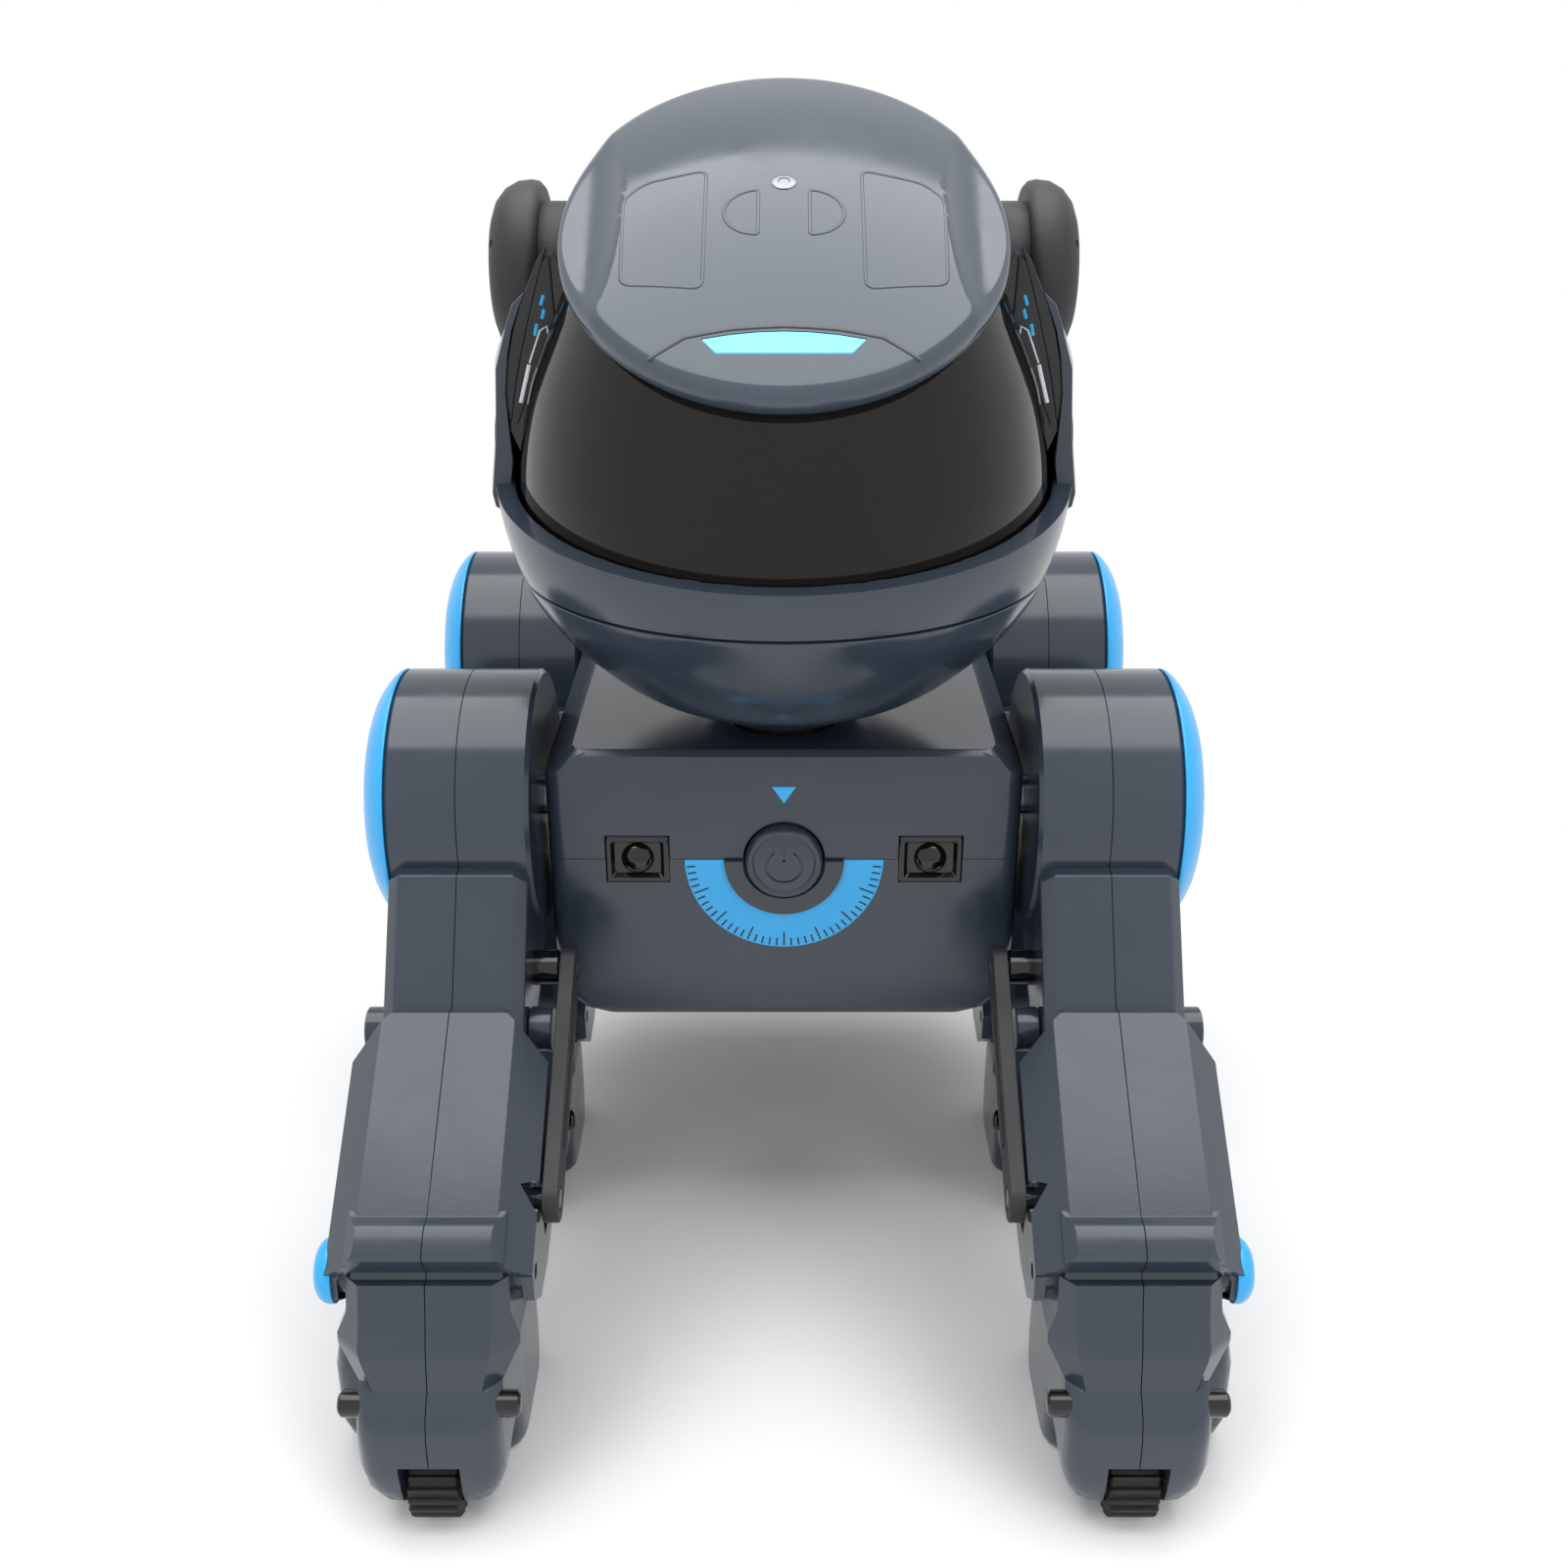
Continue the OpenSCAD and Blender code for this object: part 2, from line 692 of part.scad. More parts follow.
module crown() {
    color("#4a545e") crown_frame() difference() {
        union() {
            linear_extrude(5) scale([crown_w / crown_l, 1]) circle(d = crown_l, $fn = 72);
            intersection() {
                linear_extrude(30) scale([crown_w / crown_l, 1]) circle(d = crown_l - 2, $fn = 72);
                translate([0, 0, 5 + crown_dome - dome_r]) sphere(r = dome_r, $fn = 128);
            }
        }
        translate([0, 0, -1]) linear_extrude(4) scale([crown_w / crown_l, 1])
            circle(d = crown_l - 10, $fn = 72);
        crown_pockets();
    }
}

dome_r = (pow(crown_l / 2, 2) + pow(crown_dome, 2)) / (2 * crown_dome);

// Recesses in the crown for the light and the four touch pads.
module crown_pockets() {
    light_outline(0.1, 5);
    for (side = [-1, 1]) pad_pair(side, 0.1, 6.5);
}

module light_outline(grow, z0) {
    translate([0, 0, z0]) linear_extrude(12) polygon([
        [-11.3 - grow, -38.8 - grow], [11.3 + grow, -38.8 - grow],
        [13.4 + grow, -34.6 + grow], [-13.4 - grow, -34.6 + grow]
    ]);
}

module pad_pair(side, grow, z0) {
    translate([0, 0, z0]) linear_extrude(12) {
        polygon([for (p = [
            [13.8 - grow, -25 - grow], [28 + grow, -21.5 - grow], [28.6 + grow, 1 + grow],
            [25 + grow, 4.6 + grow], [13.8 - grow, 6 + grow]
        ]) [side * p[0], p[1]]]);
    }
    intersection() {
        translate([side * 4.5, -7, z0]) cylinder(h = 12, r = 6 + grow);
        block([side > 0 ? 4.5 - grow : -20, -20, z0], [side > 0 ? 20 : grow - 4.5, 20, z0 + 12]);
    }
}

// The dome of the crown, lowered by drop, between z0 and the top.
module dome(drop) {
    translate([0, 0, 5 + crown_dome - dome_r]) sphere(r = dome_r - drop, $fn = 128);
}

module crown_light() {
    color("#63c9f2") crown_frame() intersection() {
        light_outline(0, 5);
        dome(0.3);
    }
}

module touch_pads() {
    color("#4a545e") crown_frame() intersection() {
        union() for (side = [-1, 1]) pad_pair(side, 0, 6.5);
        dome(0.2);
    }
}

module head_rear_shell() {
    color("#3b434c") difference() {
        head_shell(band_z, head_z + 56, 0, head_wall);
        translate([-80, rear_cut - 140, 0]) cube([160, 140, 300]);
        above_crown(-0.2);
    }
}

// The dark panels that close each side between the visor and the rear shell.
module side_panels() {
    color("#17181a") difference() {
        head_shell(head_z - 12, head_z + 40, 1, 1 + head_wall);
        translate([-80, rear_cut, 0]) cube([160, 120, 300]);
        translate([-80, neck_y - 206, 0]) cube([160, 200, 300]);
        translate([0, neck_y - head_r, head_z - 18.7]) rotate([band_rise, 0, 0])
            translate([-80, -20, -120]) cube([160, 240, 120]);
        above_crown(-0.2);
    }
}

ear_y = neck_y + 24;
ear_z = head_z + 24;
ear_r = 17.5;
ear_x = 57;

module ears() {
    color("#1d1f22") for (side = [0, 1]) mirror([side, 0, 0]) difference() {
        translate([20, ear_y, ear_z]) rotate([0, 90, 0]) rotate_extrude() polygon([
            [0, 0], [ear_r, 0], [ear_r, ear_x - 27], [ear_r - 3, ear_x - 21],
            [ear_r - 6, ear_x - 20], [0, ear_x - 20]
        ]);
        head_solid(0.1);
    }
}

module face_display() {
    color("#101113") translate([0, neck_y, 0]) difference() {
        translate([0, 0, band_z]) cylinder(h = 40, r = head_r - 17);
        translate([0, 0, band_z - 1]) cylinder(h = 48, r = head_r - 19);
        translate([-80, 0, 0]) cube([160, 120, 300]);
    }
}

module speaker() {
    color("#222326") translate([0, neck_y, speaker_z]) cylinder(h = 11, r = 14);
}

module body_part(part) {
    if (part == "body_upper_shell") body_upper_shell();
    if (part == "chest_shell") chest_shell();
    if (part == "body_lower_shell") body_lower_shell();
    if (part == "battery_cover") battery_cover();
    if (part == "power_button") power_button();
    if (part == "dial_ring") dial_ring();
    if (part == "sensor_windows") sensor_windows();
    if (part == "sensor_lenses") sensor_lenses();
    if (part == "control_board") control_board();
    if (part == "battery_pack") battery_pack();
    if (part == "leg_motors") leg_motors();
    if (part == "hip_shafts") hip_shafts();
}

module head_part(part) {
    if (part == "neck_post") neck_post();
    if (part == "head_bowl") head_bowl();
    if (part == "visor_band") visor_band();
    if (part == "visor") visor();
    if (part == "crown") crown();
    if (part == "crown_light") crown_light();
    if (part == "touch_pads") touch_pads();
    if (part == "head_rear_shell") head_rear_shell();
    if (part == "side_panels") side_panels();
    if (part == "ears") ears();
    if (part == "face_display") face_display();
    if (part == "speaker") speaker();
}

for (part = BODY_PARTS) body_part(part);
for (part = HEAD_PARTS) head_part(part);
for (leg = LEGS) for (part = LEG_PARTS) {
    leg_place(leg) leg_part(part);
}
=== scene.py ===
"""Looks of a walking robot dog: its moulded housings, head and legs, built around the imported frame.

Sizes are millimetres in the frame's own axes: the dog faces -Y, its left side is +X and the floor is z = 0.
"""

from __future__ import annotations

import json
import logging
import math
from collections.abc import Callable, Iterable, Iterator, Sequence
from contextlib import contextmanager
from dataclasses import dataclass, replace
from enum import Enum

import bmesh
import bpy
from mathutils import Matrix, Vector

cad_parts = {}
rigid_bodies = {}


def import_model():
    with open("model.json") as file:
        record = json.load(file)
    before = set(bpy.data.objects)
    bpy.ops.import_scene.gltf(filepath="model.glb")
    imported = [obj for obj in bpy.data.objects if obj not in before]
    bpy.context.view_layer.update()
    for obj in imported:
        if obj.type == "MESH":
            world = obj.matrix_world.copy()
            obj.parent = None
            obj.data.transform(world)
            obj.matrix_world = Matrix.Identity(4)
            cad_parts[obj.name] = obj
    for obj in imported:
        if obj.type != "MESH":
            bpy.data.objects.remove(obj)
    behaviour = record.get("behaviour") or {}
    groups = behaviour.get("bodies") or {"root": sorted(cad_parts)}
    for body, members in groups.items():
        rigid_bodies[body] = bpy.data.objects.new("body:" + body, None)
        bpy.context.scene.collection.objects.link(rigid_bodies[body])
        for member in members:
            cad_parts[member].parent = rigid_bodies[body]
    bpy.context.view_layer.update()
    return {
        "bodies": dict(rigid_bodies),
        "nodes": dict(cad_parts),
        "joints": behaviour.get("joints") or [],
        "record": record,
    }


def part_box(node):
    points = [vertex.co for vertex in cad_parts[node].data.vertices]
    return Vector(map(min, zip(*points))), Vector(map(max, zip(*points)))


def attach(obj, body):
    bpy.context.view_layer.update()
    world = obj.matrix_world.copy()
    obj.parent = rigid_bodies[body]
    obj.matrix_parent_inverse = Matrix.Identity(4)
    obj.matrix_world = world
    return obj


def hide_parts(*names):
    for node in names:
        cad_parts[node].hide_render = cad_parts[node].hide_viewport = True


LOG = logging.getLogger("robot_dog")
MM = 0.001

Point = tuple[float, float]
Spot = tuple[float, float, float]


# ---------------------------------------------------------------- finishes


def linear(hex_colour: str) -> tuple[float, float, float, float]:
    """Turns an sRGB hex colour into the linear colour that a shader takes.

    Args:
        hex_colour: A colour such as "#3b434c".

    Returns:
        Red, green, blue and alpha, with alpha at 1.
    """
    parts = [int(hex_colour[i:i + 2], 16) / 255 for i in (1, 3, 5)]
    red, green, blue = [p / 12.92 if p <= 0.04045 else ((p + 0.055) / 1.055) ** 2.4 for p in parts]
    return red, green, blue, 1.0


def add_node(tree: bpy.types.NodeTree, kind: str, settings: dict | None = None,
             links: dict | None = None) -> bpy.types.Node:
    """Adds a shader node.

    Args:
        tree: The node tree that it joins.
        kind: Blender's name of the node's type.
        settings: Values by input name, or by the node's own property name.
        links: Output sockets by the name of the input that they feed.

    Returns:
        The new node.
    """
    made = tree.nodes.new(kind)
    for name, value in (settings or {}).items():
        if name in made.inputs:
            made.inputs[name].default_value = value
        else:
            setattr(made, name, value)
    for name, source in (links or {}).items():
        tree.links.new(source, made.inputs[name])
    return made


@dataclass(frozen=True)
class Finish:
    """A surface: two close colours that drift into each other, a roughness range and a fine relief."""

    name: str
    colour: str
    drift: str
    roughness: Point
    relief_mm: float
    relief: float
    patch_mm: float = 16.0
    ior: float = 1.53
    metallic: float = 0.0
    coat: float = 0.0
    glow: float = 0.0

    def make(self) -> bpy.types.Material:
        """Builds the node material, with its patterns on Object coordinates."""
        made = bpy.data.materials.new(self.name)
        made.use_nodes = True
        tree = made.node_tree
        tree.nodes.clear()
        place = add_node(tree, "ShaderNodeTexCoord").outputs["Object"]
        patches = add_node(tree, "ShaderNodeTexNoise", {
            "Scale": 1 / (self.patch_mm * MM), "Detail": 4.0, "Roughness": 0.55}, {"Vector": place})
        colour = add_node(tree, "ShaderNodeMixRGB", {
            "Color1": linear(self.colour), "Color2": linear(self.drift)}, {"Fac": patches.outputs["Fac"]})
        # finger marks and flow lines from the mould are larger and softer than the colour's drift
        smears = add_node(tree, "ShaderNodeTexNoise", {
            "Scale": 0.6 / (self.patch_mm * MM), "Detail": 6.0, "Roughness": 0.65, "Distortion": 1.4},
            {"Vector": place})
        rough = add_node(tree, "ShaderNodeMapRange", {
            "From Min": 0.35, "From Max": 0.68, "To Min": self.roughness[0], "To Max": self.roughness[1]},
            {"Value": smears.outputs["Fac"]})
        grain = add_node(tree, "ShaderNodeTexNoise", {
            "Scale": 1 / (self.relief_mm * MM), "Detail": 2.0}, {"Vector": place})
        bump = add_node(tree, "ShaderNodeBump", {
            "Strength": self.relief, "Distance": 0.1 * MM}, {"Height": grain.outputs["Fac"]})
        settings = {"Metallic": self.metallic, "Coat Weight": self.coat, "Coat Roughness": 0.06,
                    "Emission Color": linear(self.colour), "Emission Strength": self.glow}
        if self.metallic == 0:
            settings["IOR"] = self.ior
        shader = add_node(tree, "ShaderNodeBsdfPrincipled", settings, {
            "Base Color": colour.outputs["Color"], "Roughness": rough.outputs["Result"],
            "Normal": bump.outputs["Normal"]})
        add_node(tree, "ShaderNodeOutputMaterial", None, {"Surface": shader.outputs["BSDF"]})
        return made


class Surface(Enum):
    """The finishes that the dog's pieces are given."""

    # moulded ABS from a polished tool: glossy, with a faint orange peel and finger marks
    HOUSING = Finish("moulded_abs_slate", "#303945", "#2b343f", (0.12, 0.22), 2.2, 0.10)
    CROWN = Finish("moulded_abs_crown", "#3f4954", "#3a444f", (0.10, 0.20), 2.6, 0.08)
    # DARK is a little darker than the housing; on the button collar and the brow line this darker tone is
    # painted shade
    DARK = Finish("moulded_abs_dark", "#30373f", "#2a3037", (0.22, 0.34), 1.6, 0.10)
    BLUE = Finish("moulded_abs_sky", "#2ba6e6", "#26a0e0", (0.26, 0.36), 1.8, 0.08)
    BLUE_INK = Finish("printed_ink_sky", "#2ca7e4", "#28a1de", (0.32, 0.40), 0.8, 0.05)
    BLACK_INK = Finish("printed_ink_black", "#101214", "#15171a", (0.38, 0.46), 0.8, 0.05)
    PALE_INK = Finish("printed_ink_pale", "#d5dbe2", "#cbd2da", (0.34, 0.42), 0.8, 0.05)
    # acrylic dyed smoke brown: a clear coat over a nearly black body
    SMOKE = Finish("smoked_acrylic", "#17130f", "#120f0c", (0.05, 0.10), 5.0, 0.02, 24.0, 1.36)
    PIANO = Finish("polished_black_abs", "#101113", "#0c0d0f", (0.08, 0.14), 3.0, 0.05)
    # spark-eroded mould texture, drawn coarser than its real 0.1 mm so that it shows
    MATTE = Finish("textured_black_abs", "#1f2023", "#191a1d", (0.50, 0.62), 0.5, 0.45)
    RUBBER = Finish("moulded_rubber", "#1a1a1b", "#141415", (0.55, 0.75), 0.7, 0.5, 6.0, 1.52)
    STEEL = Finish("turned_steel", "#8d9196", "#7c8085", (0.24, 0.36), 0.4, 0.2, 5.0, 1.5, 1.0)
    LIGHT = Finish("light_guide", "#63c9f2", "#6fd2f6", (0.20, 0.28), 1.5, 0.05, 9.0, 1.49, 0.0, 0.0, 0.55)
    LENS = Finish("infrared_filter", "#060607", "#030304", (0.03, 0.06), 4.0, 0.02)
    BOARD = Finish("solder_mask", "#1d5c3a", "#184f32", (0.30, 0.45), 0.6, 0.3, 7.0)
    WRAP = Finish("shrink_wrap", "#2d5fae", "#27549b", (0.28, 0.40), 1.2, 0.3, 10.0)
    CAN = Finish("zinc_can", "#8b8f94", "#7c8085", (0.35, 0.50), 0.5, 0.3, 8.0, 1.5, 1.0)

    def material(self) -> bpy.types.Material:
        """Returns the finish's material, made once."""
        return bpy.data.materials.get(self.value.name) or self.value.make()


# ---------------------------------------------------------------- modelling steps


def mm(x: float, y: float, z: float) -> Vector:
    """Turns millimetres into a point in metres."""
    return Vector((x, y, z)) * MM


def only(piece: bpy.types.Object) -> None:
    """Makes one piece the only selected and the active one."""
    bpy.ops.object.select_all(action="DESELECT")
    piece.select_set(True)
    bpy.context.view_layer.objects.active = piece


@contextmanager
def editing(piece: bpy.types.Object, action: str = "SELECT") -> Iterator[None]:
    """Opens a piece in edit mode, with everything or nothing selected.

    Args:
        piece: The piece to edit.
        action: SELECT or DESELECT.
    """
    only(piece)
    bpy.ops.object.mode_set(mode="EDIT")
    bpy.ops.mesh.select_all(action=action)
    yield
    bpy.ops.object.mode_set(mode="OBJECT")


def tidy_surface(piece: bpy.types.Object) -> bpy.types.Object:
    """Merges doubled points, drops loose edges and turns every face outwards."""
    with editing(piece):
        bpy.ops.mesh.remove_doubles(threshold=0.002 * MM)
        bpy.ops.mesh.delete_loose(use_faces=False)
        bpy.ops.mesh.select_all(action="SELECT")
        bpy.ops.mesh.normals_make_consistent(inside=False)
    return piece


def ring_of(name: str, points: Sequence[Vector], filled: bool = True) -> bpy.types.Object:
    """Starts a piece as a flat ring of points.

    Args:
        name: The piece's name.
        points: The corners in order, in metres.
        filled: Whether a face closes the ring.

    Returns:
        The new piece, a shaped circle primitive.
    """
    bpy.ops.mesh.primitive_circle_add(
        vertices=len(points), radius=MM, fill_type="NGON" if filled else "NOTHING")
    made = bpy.context.active_object
    made.name = made.data.name = name
    for vertex, point in zip(made.data.vertices, points):
        vertex.co = point
    return made


def extruded(name: str, points: Sequence[Vector], travel: Vector) -> bpy.types.Object:
    """Extrudes a closed outline into a solid."""
    made = ring_of(name, points)
    with editing(made):
        bpy.ops.mesh.extrude_region_move(TRANSFORM_OT_translate={"value": travel})
    return tidy_surface(made)


def lofted(name: str, sections: Sequence[Sequence[Vector]]) -> bpy.types.Object:
    """Extrudes an outline step by step through further outlines with the same number of corners.

    Args:
        name: The piece's name.
        sections: The outlines in order, in metres.

    Returns:
        The closed solid.
    """
    made = ring_of(name, sections[0])
    tags = made.data.attributes.new("corner", "INT", "POINT")
    tags.data.foreach_set("value", range(len(sections[0])))
    with editing(made):
        for section in sections[1:]:
            bpy.ops.mesh.extrude_region_move(TRANSFORM_OT_translate={"value": (0, 0, 0)})
            shape = bmesh.from_edit_mesh(made.data)
            corner = shape.verts.layers.int["corner"]
            for vertex in shape.verts:
                if vertex.select:
                    vertex.co = section[vertex[corner]]
            bmesh.update_edit_mesh(made.data)
    made.data.attributes.remove(made.data.attributes["corner"])
    return tidy_surface(made)


class Spin(Enum):
    """The direction that a turned piece's axis points in, with the direction its radius starts in."""

    UP = (Vector((0, 0, 1)), Vector((1, 0, 0)))
    SIDEWAYS = (Vector((1, 0, 0)), Vector((0, 0, 1)))
    BACKWARDS = (Vector((0, 1, 0)), Vector((1, 0, 0)))


def turned(name: str, profile: Sequence[Point], centre: Vector, spin: Spin = Spin.UP,
           steps: int = 96) -> bpy.types.Object:
    """Spins a closed profile into a solid of revolution.

    Args:
        name: The piece's name.
        profile: Corners as (radius, distance along the axis), in millimetres.
        centre: The point on the axis that distances are measured from, in metres.
        spin: The axis.
        steps: How many steps make the full turn.

    Returns:
        The closed solid.
    """
    axis, out = spin.value
    made = ring_of(name, [centre + out * r * MM + axis * h * MM for r, h in profile], filled=False)
    with editing(made):
        bpy.ops.mesh.spin(steps=steps, angle=math.tau, center=centre, axis=axis)
    return tidy_surface(made)


def rounded_profile(corners: Sequence[Point], radius: float, steps: int = 4) -> list[Point]:
    """Rounds every corner of a closed outline with a short curve.

    Args:
        corners: The outline's corners.
        radius: How far from each corner the curve starts, cut down on short sides.
        steps: Segments in each curve.

    Returns:
        The rounded outline.
    """
    made: list[Point] = []
    for i, corner in enumerate(corners):
        here = Vector(corner)
        before, after = Vector(corners[i - 1]), Vector(corners[(i + 1) % len(corners)])
        reach = min(radius, (before - here).length * 0.45, (after - here).length * 0.45)
        start = here + (before - here).normalized() * reach
        end = here + (after - here).normalized() * reach
        for step in range(steps + 1):
            t = step / steps
            point = start * (1 - t) ** 2 + here * 2 * t * (1 - t) + end * t ** 2
            made.append((point.x, point.y))
    return made


def arc(centre: Point, radius: float, start: float, end: float, steps: int) -> list[Point]:
    """Points along an arc, with angles in degrees, both ends included."""
    angles = [math.radians(start + (end - start) * i / steps) for i in range(steps + 1)]
    return [(centre[0] + radius * math.cos(a), centre[1] + radius * math.sin(a)) for a in angles]


def select_edges(piece: bpy.types.Object, wanted: Callable[[Vector, Vector], bool]) -> None:
    """Selects, in edit mode, the edges whose two ends pass a test."""
    bpy.ops.mesh.select_mode(type="EDGE")
    shape = bmesh.from_edit_mesh(piece.data)
    for edge in shape.edges:
        edge.select_set(wanted(edge.verts[0].co, edge.verts[1].co))
    bmesh.update_edit_mesh(piece.data)


def bevel_edges(piece: bpy.types.Object, wanted: Callable[[Vector, Vector], bool], width: float,
                segments: int = 3) -> bpy.types.Object:
    """Bevels the edges that pass a test.

    Args:
        piece: The piece to bevel.
        wanted: A test of an edge's two ends.
        width: The bevel's width in millimetres.
        segments: The bevel's segments.

    Returns:
        The same piece.
    """
    with editing(piece, "DESELECT"):
        select_edges(piece, wanted)
        bpy.ops.mesh.bevel(offset=width * MM, segments=segments, affect="EDGES", clamp_overlap=True)
        bpy.ops.mesh.select_mode(type="VERT")
    return piece


def on_plane(axis: int, value: float) -> Callable[[Vector, Vector], bool]:
    """Makes a test for edges that lie in a plane across one axis at a value in millimetres."""
    return lambda a, b: all(abs(v[axis] - value * MM) < 0.02 * MM for v in (a, b))


def apply_modifier(piece: bpy.types.Object, kind: str, **settings: object) -> bpy.types.Object:
    """Adds a modifier with its settings and applies it.

    Args:
        piece: The piece to change.
        kind: Blender's name of the modifier's type.
        **settings: Its properties.

    Returns:
        The same piece.
    """
    modifier = piece.modifiers.new(kind.lower(), kind)
    for name, value in settings.items():
        setattr(modifier, name, value)
    only(piece)
    bpy.ops.object.modifier_apply(modifier=modifier.name)
    return piece


def soften(piece: bpy.types.Object, width: float, segments: int = 3, angle: float = 32) -> bpy.types.Object:
    """Rounds every edge that is sharper than an angle in degrees."""
    return apply_modifier(piece, "BEVEL", width=width * MM, segments=segments, limit_method="ANGLE",
                          angle_limit=math.radians(angle), harden_normals=False)


def combine(piece: bpy.types.Object, others: Iterable[bpy.types.Object],
            operation: str = "DIFFERENCE") -> bpy.types.Object:
    """Cuts solids out of a piece, or adds them to it, and removes them.

    Args:
        piece: The piece to change.
        others: The solids to use.
        operation: DIFFERENCE, UNION or INTERSECT.

    Returns:
        The same piece.
    """
    for other in others:
        apply_modifier(piece, "BOOLEAN", object=other, operation=operation, solver="EXACT")
        bpy.data.objects.remove(other)
    return piece


def trim(piece: bpy.types.Object, point: Vector, normal: Vector, away: bool = True) -> bpy.types.Object:
    """Cuts a piece by a plane, closes the cut and drops one side.

    Args:
        piece: The piece to cut.
        point: A point in the plane, in metres.
        normal: The plane's normal.
        away: Whether the side that the normal points to is the one dropped.

    Returns:
        The same piece.
    """
    with editing(piece):
        bpy.ops.mesh.bisect(plane_co=point, plane_no=normal, use_fill=True,
                            clear_outer=away, clear_inner=not away)
    return piece


def duplicate(piece: bpy.types.Object, name: str) -> bpy.types.Object:
    """Copies a piece with a mesh of its own."""
    made = bpy.data.objects.new(name, piece.data.copy())
    bpy.context.scene.collection.objects.link(made)
    return made


def reflected(piece: bpy.types.Object, name: str) -> bpy.types.Object:
    """Copies a piece to the other side of the middle plane, with its faces still outwards."""
    made = duplicate(piece, name)
    made.data.transform(Matrix.Scale(-1, 4, Vector((1, 0, 0))))
    made.data.flip_normals()
    return made


def joined(piece: bpy.types.Object, others: Iterable[bpy.types.Object]) -> bpy.types.Object:
    """Joins pieces that lie apart into one object."""
    only(piece)
    for other in others:
        other.select_set(True)
    bpy.ops.object.join()
    return piece


def split_off(piece: bpy.types.Object, x: float, name: str, edge: float = 0.2,
              gap: float = 0.09) -> bpy.types.Object:
    """Cuts a moulded piece into two halves along its parting plane, with a fine bevel on each.

    Args:
        piece: The piece to cut, which keeps its outer half.
        x: The plane's place across the dog, in millimetres.
        name: The name of the inner half.
        edge: The width of the bevel, which draws the seam.
        gap: Half the width of the seam between the halves.

    Returns:
        The inner half.
    """
    across = Vector((1, 0, 0))
    inner = duplicate(piece, name)
    trim(inner, mm(x - gap, 0, 0), across, away=True)
    trim(piece, mm(x + gap, 0, 0), across, away=False)
    for half, side in ((piece, x + gap), (inner, x - gap)):
        bevel_edges(half, on_plane(0, side), edge, 2)
    return inner


def split_at_seam(piece: bpy.types.Object, x: float, edge: float = 0.2) -> bpy.types.Object:
    """Draws a parting line on a piece: cuts it into two halves and joins them as one object."""
    return joined(piece, [split_off(piece, x, piece.name + "_half", edge)])


def slab(name: str, outline: Sequence[Point], x0: float, x1: float) -> bpy.types.Object:
    """A solid with a side-view outline of (y, z) points between two places across the dog."""
    return extruded(name, [mm(x0, y, z) for y, z in outline], mm(x1 - x0, 0, 0))


def bar(name: str, at: Point, radius: float, x0: float, x1: float, steps: int = 48,
        edge: float = 0.3) -> bpy.types.Object:
    """A round bar across the dog with softened ends.

    Args:
        name: The piece's name.
        at: Its axis as (y, z).
        radius: Its radius.
        x0: Where it starts.
        x1: Where it ends.
        steps: Sides round it.
        edge: The rounding of its ends.

    Returns:
        The closed solid.
    """
    low, high = sorted((x0, x1))
    profile = [(0, 0), (radius - edge, 0), (radius, edge), (radius, high - low - edge),
               (radius - edge, high - low), (0, high - low)]
    return turned(name, profile, mm(low, *at), Spin.SIDEWAYS, steps)


@dataclass
class Fitting:
    """What a finished piece is: where it rides, what it is made of and what it stands for."""

    body: str
    surface: Surface
    slot: str
    replaces: tuple[str, ...] = ()
    smooth: float = 34.0


def fit(piece: bpy.types.Object, fitting: Fitting) -> bpy.types.Object:
    """Smooths, dresses and mounts a finished piece.

    Args:
        piece: The finished mesh.
        fitting: What it is.

    Returns:
        The same piece.
    """
    only(piece)
    bpy.ops.object.shade_smooth_by_angle(angle=math.radians(fitting.smooth))
    apply_modifier(piece, "WEIGHTED_NORMAL", keep_sharp=True, weight=60)
    piece.data.materials.clear()
    piece.data.materials.append(fitting.surface.material())
    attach(piece, fitting.body)
    if fitting.replaces:
        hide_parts(*fitting.replaces)
    LOG.info("%s rides on %s, %d faces", piece.name, fitting.body, len(piece.data.polygons))
    return piece


# ---------------------------------------------------------------- places in the frame


class Places:
    """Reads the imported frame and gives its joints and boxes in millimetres."""

    def __init__(self, frame: dict) -> None:
        """Keeps the joints by name.
        """
        self.nodes: dict[str, bpy.types.Object] = frame["nodes"]
        self.joints: dict[str, dict] = {joint["name"]: joint for joint in frame["joints"]}

    def joint(self, name: str) -> Vector:
        """A joint's point in millimetres."""
        return Vector(self.joints[name]["pos_m"]) / MM

    def low(self, node: str) -> Vector:
        """A node's lowest corner in millimetres."""
        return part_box(node)[0] / MM

    def high(self, node: str) -> Vector:
        """A node's highest corner in millimetres."""
        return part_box(node)[1] / MM

    def dress(self, node: str, surface: Surface, slot: str) -> None:
        """Gives a CAD node that stays its finish."""
        piece = self.nodes[node]
        piece.data.materials.clear()
        piece.data.materials.append(surface.material())


# ---------------------------------------------------------------- body


